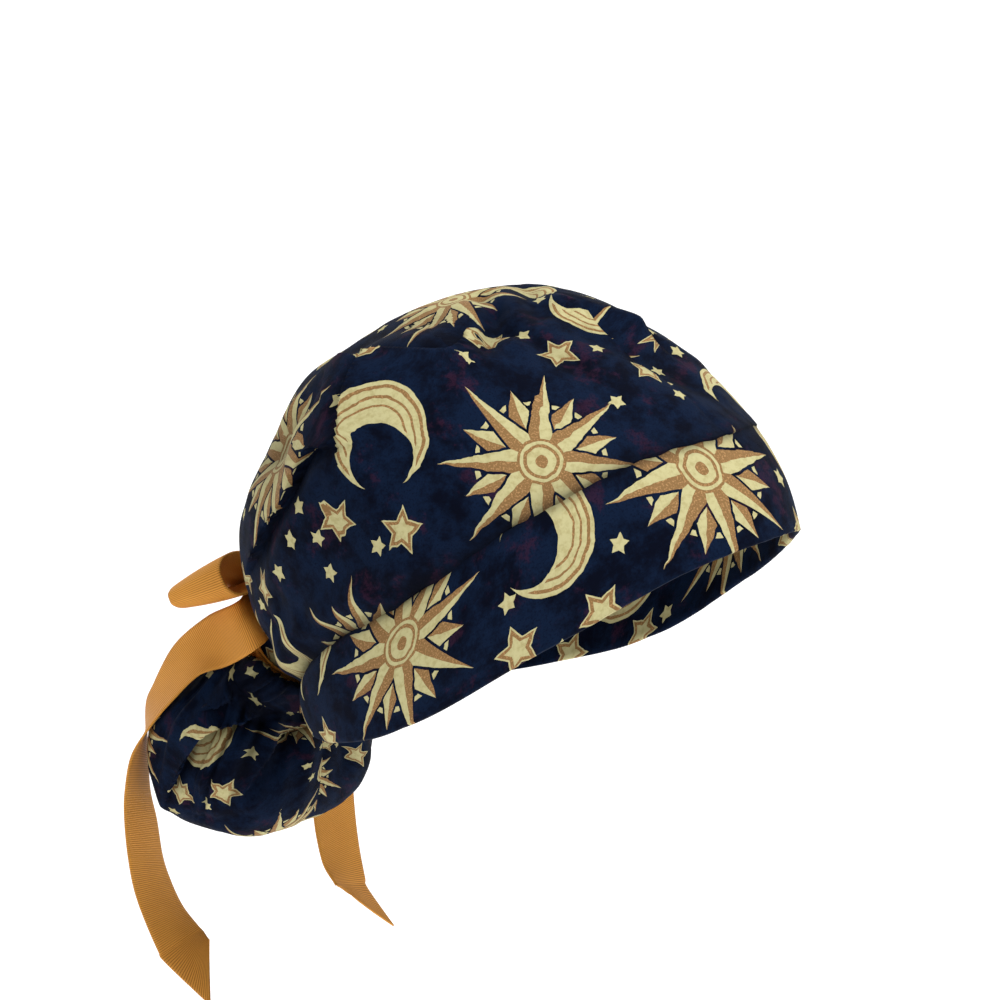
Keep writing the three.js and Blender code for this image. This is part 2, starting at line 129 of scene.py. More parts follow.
def pale_paper():
    material = bpy.data.materials.new("pale_paper")
    material.use_nodes = True
    inputs = material.node_tree.nodes["Principled BSDF"].inputs
    inputs["Base Color"].default_value = (0.92, 0.92, 0.92, 1)
    inputs["Roughness"].default_value = 0.9
    inputs["Emission Color"].default_value = (1, 1, 1, 1)
    inputs["Emission Strength"].default_value = PAPER_GLOW
    return material


print("paper glows by", PAPER_GLOW)

# %% The sweep of paper
def add_sweep():
    level = np.array([view_back[0], view_back[1], 0.0])
    level /= np.linalg.norm(level)
    profile = sweep_profile()
    points = []
    for out, up in profile:
        for side in (-FLOOR_REACH, FLOOR_REACH):
            points.append((out * level + side * view_right + [0, 0, up - FLOOR_DROP]) * MM)
    faces = [(2 * k, 2 * k + 1, 2 * k + 3, 2 * k + 2) for k in range(len(profile) - 1)]
    mesh = bpy.data.meshes.new("sweep")
    mesh.from_pydata([tuple(p) for p in points], [], faces)
    mesh.shade_smooth()
    mesh.materials.append(pale_paper())
    sweep = bpy.data.objects.new("sweep", mesh)
    bpy.context.collection.objects.link(sweep)


add_sweep()
print("floor is", FLOOR_DROP, "mm below the origin")

# %% [markdown]
# Large soft lamps light the cap. One lamp straight ahead would flatten its folds, so the main one is
# over the camera's right shoulder, because the photograph's cloth is brightest at the front of the cap
# and falls into shade at the back. A weaker lamp opens the shadows and a third one lights the top.

# %% Lamps
def add_lamp(name, right, up, back, side, watts):
    """A square soft lamp at a place given from the camera's side of the cap, in metres."""
    data = bpy.data.lights.new(name, "AREA")
    data.size = side
    data.energy = watts
    lamp = bpy.data.objects.new(name, data)
    bpy.context.collection.objects.link(lamp)
    place = Vector(view_right * right + np.array([0, 0, up]) + view_back * back)
    aim = Vector((0, 0.02, 0)) - place
    lamp.matrix_world = Matrix.Translation(place) @ aim.to_track_quat("-Z", "Y").to_matrix().to_4x4()


add_lamp("key_lamp", 1.0, 1.5, 0.9, 0.6, 34)
add_lamp("fill_lamp", -1.3, 0.3, 1.3, 1.2, 5)
add_lamp("top_lamp", -0.2, 1.8, -0.3, 1.0, 9)
print("lamps:", [lamp.name for lamp in bpy.data.lights])

# %% Light from all round
ROOM_LIGHT = 0.4

world = bpy.data.worlds.new("studio")
world.use_nodes = True
room = world.node_tree.nodes["Background"]
room.inputs["Color"].default_value = (1, 1, 1, 1)
room.inputs["Strength"].default_value = ROOM_LIGHT
bpy.context.scene.world = world
bpy.context.scene.view_settings.view_transform = "Standard"
print("room light", ROOM_LIGHT)

# %% [markdown]
# The crown is the soft top of the cap. Its foot is an egg-shaped ring in a plane that leans back, high
# at the front and low at the back. A stretched sphere would be quick but has the wrong profile. Rings
# whose sizes are shares of named lengths, the same as in the solids, let the cloth lie on the solid that
# it replaces.

# %% Crown sizes
CROWN_HALF_WIDTH = 78
CROWN_FRONT = 90
CROWN_BACK = 104
CROWN_HEIGHT = 98.5
CROWN_FOOT = np.array([0, -7.4, 18.0])
CROWN_LEAN = math.radians(32.6)
NARROWER_FRONT = 0.06
CROWN_SECTIONS = {
    "rise": [0.0, 0.045, 0.16, 0.34, 0.56, 0.76, 0.89, 0.965, 1.0],
    "middle": [0.0, 0.0, 0.0, 0.0, 0.0, 0.03, 0.06, 0.1, 0.12],
    "front": [1.0, 0.97, 0.93, 0.84, 0.71, 0.6, 0.45, 0.25, 0.0],
    "back": [0.985, 1.0, 1.035, 1.055, 1.0, 0.79, 0.555, 0.34, 0.0],
    "width": [1.0, 1.035, 1.045, 1.045, 0.985, 0.85, 0.65, 0.41, 0.0],
}
print("crown is", 2 * CROWN_HALF_WIDTH, "mm wide and", CROWN_HEIGHT, "mm high")

# %% The leaning frame
back_cap = np.array([0, math.cos(CROWN_LEAN), -math.sin(CROWN_LEAN)])
up_cap = np.array([0, math.sin(CROWN_LEAN), math.cos(CROWN_LEAN)])
across = np.array([1.0, 0, 0])


def in_cap(x, back, up):
    """Points from coordinates in the leaning frame, each an array or a number."""
    x, back, up = np.broadcast_arrays(x, back, up)
    return CROWN_FOOT + x[..., None] * across + back[..., None] * back_cap + up[..., None] * up_cap


print("highest point of the frame:", np.round(in_cap(0.0, 0.0, CROWN_HEIGHT), 1))

# %% [markdown]
# A few numbers down a column have to become a smooth curve. Blender's curves could do that one by one,
# but whole arrays of points are moved here at once, so a short formula reads the column between its
# numbers and passes through each of them.

# %% Smooth curves through numbers
def between(values, share):
    """A smooth curve through a column of values, read at a share of the way from first to last."""
    values = np.asarray(values, float)
    place = np.clip(share, 0, 1) * (len(values) - 1)
    k = np.minimum(place.astype(int), len(values) - 2)
    t = place - k
    a, b, c, d = (values[np.clip(k + step, 0, len(values) - 1)] for step in (-1, 0, 1, 2))
    return b + 0.5 * t * (c - a + t * (2 * a - 5 * b + 4 * c - d + t * (3 * (b - c) + d - a)))


def curve_through(knots, share):
    """A smooth curve through points, read at shares of the way along its list."""
    return np.stack([between(np.array(knots)[:, axis], share) for axis in range(3)], -1)


print("halfway between 0, 1 and 0 the curve reads", between([0, 1, 0], np.array([0.25])))

# %% The crown's surface
def ring(turn, front, back, half_width):
    """An egg-shaped ring: turn 0 is the front, and a quarter turn is the cap's right."""
    ahead = np.cos(turn)
    reach = np.where(ahead > 0, front, back)
    narrow = 1 - NARROWER_FRONT * np.maximum(ahead, 0)
    return -half_width * narrow * np.sin(turn), -reach * ahead


def crown_surface(share, turn):
    share, turn = np.broadcast_arrays(np.asarray(share, float), np.asarray(turn, float))
    size = {name: between(column, share) for name, column in CROWN_SECTIONS.items()}
    x, back = ring(
        turn, size["front"] * CROWN_FRONT, size["back"] * CROWN_BACK, size["width"] * CROWN_HALF_WIDTH
    )
    return in_cap(x, back + size["middle"] * CROWN_BACK, size["rise"] * CROWN_HEIGHT)


print("crown foot to top:", np.round(crown_surface(0, 0), 1), np.round(crown_surface(1, 0), 1))

# %% [markdown]
# The crown is sewn to a fitted band that dips towards the back. One column gives the height of the seam
# and another that of the open rim, every 30 degrees from front to back, with one row more beyond each
# end for the smooth curve. A straight line from front to back would miss how the rim rises at the front.

# %% The band's two edges
BAND_EDGES = {
    "seam": [0.074, 0.048, 0.074, 0.059, 0.02, 0.04, 0.01, 0.0, 0.01],
    "rim": [0.919, 1.0, 0.919, 0.636, 0.288, 0.136, 0.073, 0.0, 0.073],
}


def band_edge(column, turn):
    from_front = np.abs(np.mod(turn + math.pi, 2 * math.pi) - math.pi)
    row = math.pi / (len(BAND_EDGES[column]) - 3)
    return between(BAND_EDGES[column], (from_front + row) / (math.pi + 2 * row))


print("rim at the side:", np.round(band_edge("rim", math.pi / 2), 3))

# %% The seam on the crown
def share_at_rise(rise):
    steps = np.linspace(0, 1, 400)
    return np.interp(rise, between(CROWN_SECTIONS["rise"], steps), steps)


def seam_share(turn):
    return share_at_rise(band_edge("seam", turn))


print("seam at front and back:", np.round(seam_share(np.array([0.0, math.pi])), 3))

# %% [markdown]
# Folded cloth is a smooth form with creases on it. Cloth simulation could fold it, but not where the
# photograph's folds are, so they are laid in one by one. Each crease runs straight from one place to
# another and has its own width on either side, because a fold that falls away steeply on one side and
# gently on the other reads as cloth and not as a dent.

# %% Where the crown is creased
CREASE_COLUMNS = ("turn", "rise", "to_turn", "to_rise", "reach", "before", "after")
CROWN_CREASES = [
    (85, 0.86, 45, 0.76, -3, 13, 13),
    (38, 0.57, 22, 0.67, -3.5, 3, 6),
    (30, 0.55, 18, 0.66, 1.6, 5, 5),
    (92, 0.5, 118, 0.38, 2.5, 9, 9),
    (97, 0.46, 122, 0.33, -1.2, 3, 4),
    (100, 0.66, 122, 0.6, -2, 4, 7),
    (112, 0.7, 140, 0.62, 0.9, 5, 5),
    (12, 0.6, 352, 0.72, -2.5, 7, 4),
    (3, 0.6, 351, 0.5, 2.5, 8, 5),
    (351, 0.5, 336, 0.4, 1.2, 8, 5),
    (6, 0.5, 352, 0.32, -2.5, 9, 9),
    (14, 0.76, 26, 0.59, -2.6, 4, 5),
    (26, 0.59, 20, 0.45, -2.2, 4, 7),
    (116, 0.6, 138, 0.66, -3.4, 13, 13),
    (266, 0.58, 236, 0.46, -3.5, 5, 10),
    (262, 0.48, 244, 0.38, 2.5, 9, 9),
    (158, 0.4, 146, 0.62, -3, 4, 8),
    (166, 0.4, 160, 0.6, 1.4, 4, 4),
    (180, 0.46, 184, 0.66, -3, 6, 4),
    (204, 0.4, 216, 0.6, -3, 8, 4),
    (194, 0.42, 200, 0.58, 1.4, 4, 4),
    (60, 0.1, 72, 0.26, -0.9, 3, 4),
    (88, 0.1, 96, 0.22, -1.1, 3, 5),
    (110, 0.08, 116, 0.24, -1.2, 3, 5),
    (132, 0.08, 134, 0.3, -1.6, 3, 6),
    (122, 0.1, 126, 0.3, 1.2, 5, 4),
    (228, 0.08, 226, 0.3, -1.6, 3, 6),
    (250, 0.08, 244, 0.24, -1.2, 3, 5),
]
print("creases on the crown:", len(CROWN_CREASES))

# %% A soft step
def smooth(value, low, high):
    share = np.clip((value - low) / (high - low), 0, 1)
    return share * share * (3 - 2 * share)


print("a soft step halfway up:", smooth(0.5, 0, 1))

# %% Make the creases
CREASE_DEPTH = 1.35
CREASE_DARK_AT = 5.0


def crease_lift(points, outward, crease, surface):
    """How far one crease lifts each point, in millimetres before CREASE_DEPTH."""
    start = surface(crease["rise"], math.radians(crease["turn"]))
    end = surface(crease["to_rise"], math.radians(crease["to_turn"]))
    along = end - start
    share = np.clip((points - start) @ along / (along @ along), 0, 1)
    offset = points - start - share[..., None] * along
    distance = np.linalg.norm(offset, axis=-1)
    side = np.einsum("...i,...i->...", np.cross(along / np.linalg.norm(along), outward), offset)
    blend = smooth(side, -1.5, 1.5)
    width = crease["before"] * (1 - blend) + crease["after"] * blend
    return crease["reach"] * np.exp(-np.power(distance / width, 1.7))


def creased(points, outward, rows, surface):
    """Moves points outward by every crease near them, and returns the painted shade of each one."""
    lift = np.zeros(points.shape[:-1])
    for row in rows:
        lift += crease_lift(points, outward, dict(zip(CREASE_COLUMNS, row)), surface)
    # Painted shade: valleys CREASE_DARK_AT mm deep or more get the full painted shade.
    return points + CREASE_DEPTH * lift[..., None] * outward, np.clip(-lift / CREASE_DARK_AT, 0, 1)


print("a valley is fully shaded from", CREASE_DARK_AT, "mm down")

# %% [markdown]
# The cap's large folds are laps: the cloth runs over itself, so one side ends in a clean edge with a
# shadow under it, and part of the print is swallowed. Real folded faces would cross each other at this
# size. A lap here follows a path on the surface, steps up on its right-hand side and down on the other,
# and hangs over a little. Each path is a list of places, a turn in degrees and a share of the way up,
# with the lap's height, its reach over and under the edge, and the cloth that it swallows.

# %% Where the crown's cloth laps
CROWN_LAPS = [
    # path of (turn, share up the crown), then height, over, under and swallowed cloth in millimetres
    ([(106, 0.66), (101, 0.73), (96, 0.79), (88, 0.75), (77, 0.69), (67, 0.665), (57, 0.615), (48, 0.575),
      (41, 0.59), (38, 0.61), (33, 0.605), (27, 0.58), (18, 0.57)], 6.0, 14, 9, 12),
    ([(94, 0.42), (89, 0.51), (86, 0.545), (83, 0.59), (78, 0.635), (73, 0.67), (67, 0.71)], 5.0, 12, 8, 11),
    ([(82, 0.49), (89, 0.515), (93, 0.53), (98, 0.55), (102, 0.535), (108, 0.49), (116, 0.475),
      (123, 0.45), (134, 0.43), (150, 0.41)], 7.0, 13, 8, 13),
    ([(4, 0.68), (356, 0.61), (351, 0.545), (350, 0.485), (350, 0.44), (345, 0.37)], 3.4, 10, 9, 8),
    ([(318, 0.56), (300, 0.61), (285, 0.68), (272, 0.75), (262, 0.79)], 3.0, 14, 10, 11),
    ([(214, 0.42), (226, 0.44), (240, 0.47), (256, 0.5), (272, 0.53)], 4.4, 12, 10, 12),
    ([(160, 0.3), (156, 0.42), (148, 0.56), (140, 0.66)], 3.2, 9, 7, 7),
    ([(172, 0.42), (171, 0.54), (166, 0.66)], 2.6, 7, 5, 5),
    ([(208, 0.64), (200, 0.54), (196, 0.42)], 3.0, 8, 6, 6),
]
print("laps on the crown:", len(CROWN_LAPS))

# %% The nearest place on a lap
PATH_STEPS = 36


def nearest_on_lap(points, outward, line):
    """Distance to the lap's edge, how far along it, which side of it, and the way across it."""
    nearest = np.full(points.shape[:-1], np.inf)
    place = np.zeros(points.shape[:-1])
    side = np.zeros(points.shape[:-1])
    across_lap = np.zeros_like(points)
    for k in range(PATH_STEPS - 1):
        along = line[k + 1] - line[k]
        share = np.clip((points - line[k]) @ along / (along @ along), 0, 1)
        offset = points - line[k] - share[..., None] * along
        distance = np.linalg.norm(offset, axis=-1)
        right_hand = np.cross(along / np.linalg.norm(along), outward)
        right_hand /= np.maximum(np.linalg.norm(right_hand, axis=-1, keepdims=True), 1e-6)
        nearer = distance < nearest
        nearest = np.where(nearer, distance, nearest)
        place = np.where(nearer, (k + share) / (PATH_STEPS - 1), place)
        side = np.where(nearer, np.einsum("...i,...i->...", right_hand, offset), side)
        across_lap = np.where(nearer[..., None], right_hand, across_lap)
    return nearest, place, side, across_lap


print("each lap is read at", PATH_STEPS, "places")

# %% [markdown]
# A grid of faces has no edge where a lap wants one. Faces could be cut along the path, but it is simpler
# to move the few grid points that are nearly on it exactly onto it: the step then runs along the path
# and not in a zigzag beside it.

# %% Lay one lap
LAP_SNAP = 0.95
LAP_DARK_AT = 5.0
LAP_OVERHANG = 1.7
LAP_CUTS_FROM = 0.55


def one_lap(points, outward, line, height, over, under, swallowed):
    """How one lap moves each point, slides its print and paints shade under it, and whether it is on the
    edge.
    """
    nearest, place, side, across_lap = nearest_on_lap(points, outward, line)
    strength = smooth(place, 0, 0.3) * (1 - smooth(place, 0.72, 1))
    snapped = (nearest < LAP_SNAP) & (strength > 0)
    to_edge = np.where(snapped, -side, 0.0)
    nearest = np.where(snapped, 0.0, nearest)
    on_top = np.where(side > -LAP_SNAP, 1.0, 0.0)
    rise = 0.35 * np.exp(-np.power(nearest / over, 1.4)) * on_top
    fall = 0.65 * np.exp(-np.power(nearest / under, 1.4)) * (1 - on_top)
    hang = LAP_OVERHANG * np.exp(-np.square(nearest / 3.5)) * (1 - 2 * on_top)
    pull = swallowed / 2 * np.exp(-nearest / 22) * (2 * on_top - 1)
    # Painted shadow on the lower side of the lap, fading away from its edge.
    dark = (1 - on_top) * np.exp(-np.power(nearest / (0.6 * under), 1.2)) * min(height / LAP_DARK_AT, 1)
    move = (strength * height * (rise - fall))[..., None] * outward
    move += (strength * hang + to_edge)[..., None] * across_lap
    slide = pull * smooth(strength, LAP_CUTS_FROM, 1) - hang * strength
    return move, slide[..., None] * across_lap, strength * dark, snapped


print("a lap hangs over by", LAP_OVERHANG, "mm")

# %% Lay all the laps
def lapped(points, outward, laps, surface):
    """Moves points for every lap. Also where each one's print is read, its painted shade, and if on an edge.
    """
    move = np.zeros_like(points)
    slide = np.zeros_like(points)
    shade = np.zeros(points.shape[:-1])
    edges = np.zeros(points.shape[:-1], bool)
    for path, height, over, under, swallowed in laps:
        knots = [surface(rise, math.radians(turn)) for turn, rise in path]
        line = curve_through(knots, np.linspace(0, 1, PATH_STEPS))
        moved, slid, shaded, snapped = one_lap(points, outward, line, height, over, under, swallowed)
        move += moved
        slide += slid
        shade = np.maximum(shade, shaded)
        edges |= snapped
    return points + move, points + move + slide, shade, edges


print("highest lap on the crown:", max(height for path, height, *rest in CROWN_LAPS), "mm")

# %% [markdown]
# Between the folds the cloth still isn't smooth. A little soft noise makes it uneven, and a shallow
# groove runs where its right and left halves are sewn together. Noise alone would never make folds,
# because it has no direction, so it is used only for what is too small to place by hand.

# %% Centre seam and rumples
CENTRE_SEAM_DEPTH = 0.6
CENTRE_SEAM_WIDTH = 1.3


def centre_seam(points):
    """How far the cloth dips along the seam that joins its right and left half."""
    return -CENTRE_SEAM_DEPTH * np.exp(-np.square(points[..., 0] / CENTRE_SEAM_WIDTH))


def away_from(middle, points):
    way = points - middle
    return way / np.linalg.norm(way, axis=-1, keepdims=True)


def rumple(points, scale, seed):
    """Soft noise in -1..1 at each point, for the unevenness that no crease draws."""
    flat = points.reshape(-1, 3) / scale + seed
    values = [noise.noise(Vector(p)) for p in flat]
    return np.array(values).reshape(points.shape[:-1])


print("centre seam is", CENTRE_SEAM_DEPTH, "mm deep")

# %% [markdown]
# Every piece of cloth here is a grid: rows of points that go once round. A grid is quick to make from
# arrays, its faces are all quads, and each point of it knows its place on the flat cloth. That place is
# stored as a UV map, and the shade painted on a point for its folds, seams and gathers is stored as a number
# on it.

# %% The faces of a grid
def grid_faces(rows, columns):
    """Quads between rows of points that go once round."""
    faces = []
    for r in range(rows - 1):
        for c in range(columns):
            d = (c + 1) % columns
            faces.append((r * columns + c, (r + 1) * columns + c, (r + 1) * columns + d, r * columns + d))
    return faces


print("3 rows of 4 points make", len(grid_faces(3, 4)), "faces")

# %% [markdown]
# A quad is drawn as two triangles, and Blender chooses which corners they share. Where a lap's edge runs
# from corner to corner of a quad, the wrong choice makes a tooth in the edge. Those quads are split by
# hand along the edge.

# %% Split faces along a lap's edge
def split_along_edges(faces, edges):
    split = []
    for a, b, c, d in faces:
        on_edge = [edges[a], edges[b], edges[c], edges[d]]
        count = sum(on_edge)
        from_first = on_edge[0] and on_edge[2]
        first_way = (count == 2 and from_first) or (count == 3 and not from_first)
        second_way = (count == 2 and on_edge[1] and on_edge[3]) or (count == 3 and from_first)
        if first_way:
            split += [(a, b, c), (a, c, d)]
        elif second_way:
            split += [(a, b, d), (b, c, d)]
        else:
            split.append((a, b, c, d))
    return split


print("one quad crossed by an edge becomes", len(split_along_edges([(0, 1, 2, 3)], [1, 0, 1, 0])), "faces")

# %% Lay the map on a mesh
def corner_points(mesh):
    """Which point each face corner stands on."""
    corners = np.empty(len(mesh.loops), int)
    mesh.loops.foreach_get("vertex_index", corners)
    return corners


def lay_map(mesh, flat, faces, maps):
    """One flat map for faces at x below 0, and another for the rest, in metres."""
    corners = corner_points(mesh)
    face_x = np.array([flat[list(face), 0].mean() for face in faces])
    left = np.repeat(face_x > 0, [len(face) for face in faces])
    uv = np.where(left[:, None], maps[1].reshape(-1, 2)[corners], maps[0].reshape(-1, 2)[corners])
    mesh.uv_layers.new(name="cloth").data.foreach_set("uv", uv.ravel())


print("a mesh's map is named cloth")

# %% Make a cloth mesh
def weld(mesh):
    """Joins points that lie on each other, such as the last row of a crown."""
    work = bmesh.new()
    work.from_mesh(mesh)
    bmesh.ops.remove_doubles(work, verts=work.verts, dist=1e-6)
    work.to_mesh(mesh)
    work.free()


def grid_mesh(name, points, maps, welded, shade=None, edges=None):
    flat = points.reshape(-1, 3) * MM
    faces = grid_faces(*points.shape[:2])
    if edges is not None:
        faces = split_along_edges(faces, edges.ravel())
    mesh = bpy.data.meshes.new(name)
    mesh.from_pydata(flat.tolist(), [], faces)
    lay_map(mesh, flat, faces, maps)
    if shade is not None:
        # The painted shade of each point goes into a point attribute.
        mesh.attributes.new("painted_shade", "FLOAT", "POINT").data.foreach_set("value", shade.ravel())
    if welded:
        weld(mesh)
    mesh.shade_smooth()
    return mesh


print("points closer than a thousandth of a millimetre are welded")

# %% [markdown]
# Cloth is cut flat, so its print must lie on the pattern piece and not on the space around it. Box or
# camera projection would smear it over the folds. Each half of a rounded piece gets its own flat map:
# distance and direction from the middle of that half, measured over the curved surface as a tailor's
# tape would. The print keeps its size and jumps only at the centre seam, as it does on a real cap.

# %% Flat maps of rounded cloth
USUAL_RADIUS = 88


def half_axes(side, towards):
    """The way from the middle to the middle of one half, with the ways right and up across it."""
    centre_way = np.array([side * towards[0], towards[1], towards[2]])
    centre_way /= np.linalg.norm(centre_way)
    up_way = np.array([0, 0, 1.0]) - centre_way[2] * centre_way
    up_way /= np.linalg.norm(up_way)
    return centre_way, np.cross(up_way, centre_way), up_way


def cloth_maps(points, middle, towards, offsets):
    """The flat maps of the right and left half, in metres."""
    maps = []
    arm = points - middle
    length = np.linalg.norm(arm, axis=-1)
    way = arm / np.maximum(length, 1e-6)[..., None]
    for side, offset in zip((-1, 1), offsets):
        centre_way, right_way, up_way = half_axes(side, towards)
        angle = np.arccos(np.clip(way @ centre_way, -1, 1))
        u, v = way @ right_way, way @ up_way
        reach = angle * (length + USUAL_RADIUS) / 2 / np.maximum(np.hypot(u, v), 1e-6)
        maps.append(np.stack([u * reach + offset[0], v * reach + offset[1]], -1) * MM)
    return maps


print("the maps are true to size for a radius near", USUAL_RADIUS, "mm")

# %% [markdown]
# A mesh becomes a piece of the cap when it is linked, given its finish and set to ride on the body, and
# the solid that it stands for is hidden. Cloth then gets its thickness from a modifier, which is applied
# at once, so that the mesh itself carries it.

# %% Pieces
def add_piece(name, mesh, material, slot, *nodes):
    piece = bpy.data.objects.new(name, mesh)
    bpy.context.collection.objects.link(piece)
    mesh.materials.append(material)
    if nodes:
        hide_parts(*nodes)
    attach(piece, "root")
    return piece


print("solids that need cloth or ribbon:", len(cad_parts))

# %% Thickness
def apply_modifiers(piece):
    graph = bpy.context.evaluated_depsgraph_get()
    graph.update()
    mesh = bpy.data.meshes.new_from_object(piece.evaluated_get(graph))
    old = piece.data
    piece.modifiers.clear()
    piece.data = mesh
    mesh.name = old.name


def thicken(piece, thickness, offset=-1):
    layer = piece.modifiers.new("cloth_thickness", "SOLIDIFY")
    layer.thickness = thickness * MM
    layer.offset = offset
    layer.use_even_offset = False


def area_of(piece):
    return sum(face.area for face in piece.data.polygons)


print("cloth grows inward from its face, ribbon to both sides")

# %% [markdown]
# A shader can hold a printed repeat without any picture. It is drawn from distances: a circle is a
# radius, and a star is the distance to the straight edges of its points. That takes many small maths
# nodes, so a helper adds them one by one and keeps the steps readable.

# %% Wiring up nodes
class Wires:
    """Adds shader nodes one by one. Values are in millimetres of cloth."""

    def __init__(self, tree):
        self.tree = tree

    def put(self, kind, **settings):
        node = self.tree.nodes.new(kind)
        for name, value in settings.items():
            setattr(node, name, value)
        return node

    def feed(self, socket, value):
        if isinstance(value, bpy.types.NodeSocket):
            self.tree.links.new(value, socket)
        else:
            socket.default_value = value

    def math(self, operation, *values):
        node = self.put("ShaderNodeMath", operation=operation)
        for socket, value in zip(node.inputs, values):
            self.feed(socket, value)
        return node.outputs[0]

    def below(self, value, limit):
        return self.math("LESS_THAN", value, limit)

    def both(self, first, second):
        return self.math("MULTIPLY", first, second)

    def either(self, *values):
        result = values[0]
        for value in values[1:]:
            result = self.math("MAXIMUM", result, value)
        return result


print("a shader can be wired in", len([n for n in vars(Wires) if n[0] != "_"]), "kinds of step")

# %% Colours, noise and soft steps in a shader
def mix(w, share, low, high):
    node = w.put("ShaderNodeMix", data_type="RGBA")
    w.feed(node.inputs[0], share)
    w.feed(node.inputs[6], low)
    w.feed(node.inputs[7], high)
    return node.outputs[2]


def cloth_noise(w, vector, scale, detail=3.0, roughness=0.5):
    node = w.put("ShaderNodeTexNoise")
    w.feed(node.inputs["Vector"], vector)
    node.inputs["Scale"].default_value = scale
    node.inputs["Detail"].default_value = detail
    node.inputs["Roughness"].default_value = roughness
    return node.outputs["Fac"]


def smooth_step(w, value, low, high):
    node = w.put("ShaderNodeMapRange", interpolation_type="SMOOTHSTEP")
    w.feed(node.inputs["Value"], value)
    node.inputs["From Min"].default_value = low
    node.inputs["From Max"].default_value = high
    return node.outputs["Result"]


def from_screen(red, green, blue):
    """A screen colour of 0 to 255 as the linear colour that a shader takes."""
    return tuple(
        c / 255 / 12.92 if c / 255 < 0.04045 else ((c / 255 + 0.055) / 1.055) ** 2.4
        for c in (red, green, blue)
    ) + (1.0,)


print("middle grey on the screen is", round(from_screen(128, 128, 128)[0], 3), "to a shader")

# %% [markdown]
# The cloth map is divided into staggered cells like bricks, and each cell holds one motif at a place
# that chance has moved a little. A plain grid would look like wallpaper, and wholly random places would
# let motifs run into each other.

# %% One motif to a cell
def moved_by_chance(w, middle, chance, jitter):
    return w.math("MULTIPLY_ADD", w.math("SUBTRACT", chance, 0.5), 2 * jitter, middle)


def motif_cells(w, u, v, width, height, shift, jitter, seed):
    """The middle of the cell's motif, and a random number for it."""
    row = w.math("FLOOR", w.math("DIVIDE", v, height))
    stagger = w.math("MULTIPLY", w.math("FRACT", w.math("MULTIPLY", row, 0.5)), width)
    moved = w.math("ADD", w.math("ADD", u, stagger), shift)
    column = w.math("FLOOR", w.math("DIVIDE", moved, width))
    place = w.put("ShaderNodeCombineXYZ")
    w.feed(place.inputs[0], column)
    w.feed(place.inputs[1], row)
    place.inputs[2].default_value = seed
    chance = w.put("ShaderNodeTexWhiteNoise")
    w.feed(chance.inputs["Vector"], place.outputs[0])
    parts = w.put("ShaderNodeSeparateColor")
    w.feed(parts.inputs[0], chance.outputs["Color"])
    middle_u = w.math("SUBTRACT", w.math("MULTIPLY_ADD", column, width, width / 2 - shift), stagger)
    middle_v = w.math("MULTIPLY_ADD", row, height, height / 2)
    return (
        moved_by_chance(w, middle_u, parts.outputs[0], jitter),
        moved_by_chance(w, middle_v, parts.outputs[1], jitter),
        parts.outputs[2],
    )


print("every motif gets two numbers for its place and one for its turn")

# %% Distance and direction from a motif
TURN = 2 * math.pi


def from_middle(w, u, v, centre_u, centre_v):
    du = w.math("SUBTRACT", u, centre_u)
    dv = w.math("SUBTRACT", v, centre_v)
    squares = w.math("MULTIPLY_ADD", du, du, w.math("MULTIPLY", dv, dv))
    return w.math("SQRT", squares), w.math("ARCTAN2", dv, du)


print("a whole turn is", round(TURN, 3))

# %% [markdown]
# The motifs are this lesson's own, of the kinds that many starry cottons carry, in a layout of its own.
# Star and rose both come from one shape: one ray of a star, folded round its middle as often as it has
# points. A dark line inside a gold shape is a ring of depths in it.

# %% Rays and rings
def star_depth(w, radius, angle, points, size, slimness):
    """How deep inside a star a place lies, in millimetres; below zero is outside."""
    fold = w.math("PINGPONG", w.math("ADD", angle, 4 * TURN), TURN / points / 2)
    x = w.math("MULTIPLY", radius, w.math("COSINE", fold))
    y = w.math("MULTIPLY", radius, w.math("SINE", fold))
    half = TURN / points / 2
    edge = np.array([size * slimness * math.cos(half) - size, size * slimness * math.sin(half)])
    normal = np.array([edge[1], -edge[0]]) / np.linalg.norm(edge)
    flat = w.math("MULTIPLY_ADD", x, -normal[0], normal[0] * size)
    return w.math("MULTIPLY_ADD", y, -normal[1], flat)


def ring_line(w, radius, inner, outer):
    return w.both(w.below(radius, outer), w.math("GREATER_THAN", radius, inner))


def first_half(w, angle, points):
    """One on the first half of every ray, zero on the other, as compass points are shaded."""
    share = w.math("FRACT", w.math("MULTIPLY", w.math("ADD", angle, 4 * TURN), points / TURN))
    return w.below(share, 0.5)


print("a five-pointed star repeats every", 360 / 5, "degrees")

# %% [markdown]
# The largest motif is a compass rose, as on old sea charts: eight long points over eight short ones,
# each dark on one side, with a ring and a small hub. It could be cut as a shape and projected, but drawn
# from distances it stays sharp in any close view.

# %% The compass rose
BRICK_WIDTH = 124
BRICK_HEIGHT = 86
ROSE_LONG = 37
ROSE_SHORT = 29
ROSE_POINTS = 8
ROSE_HUB = 7.4
LINE_GAP = -0.9


def rose_shading(w, radius, angle, between_points, long_ray, short_ray):
    """The dark half of every ray, and the rings of the hub."""
    off_hub = w.math("GREATER_THAN", radius, ROSE_HUB + 0.8)
    long_shade = w.both(w.both(long_ray, first_half(w, angle, ROSE_POINTS)), off_hub)
    short_shade = w.both(w.both(short_ray, first_half(w, between_points, ROSE_POINTS)), off_hub)
    hub_line = ring_line(w, radius, 5.0, 6.2)
    hub_edge = ring_line(w, radius, ROSE_HUB, ROSE_HUB + 1)
    return w.either(long_shade, short_shade, hub_line, w.below(radius, 2.2), hub_edge)


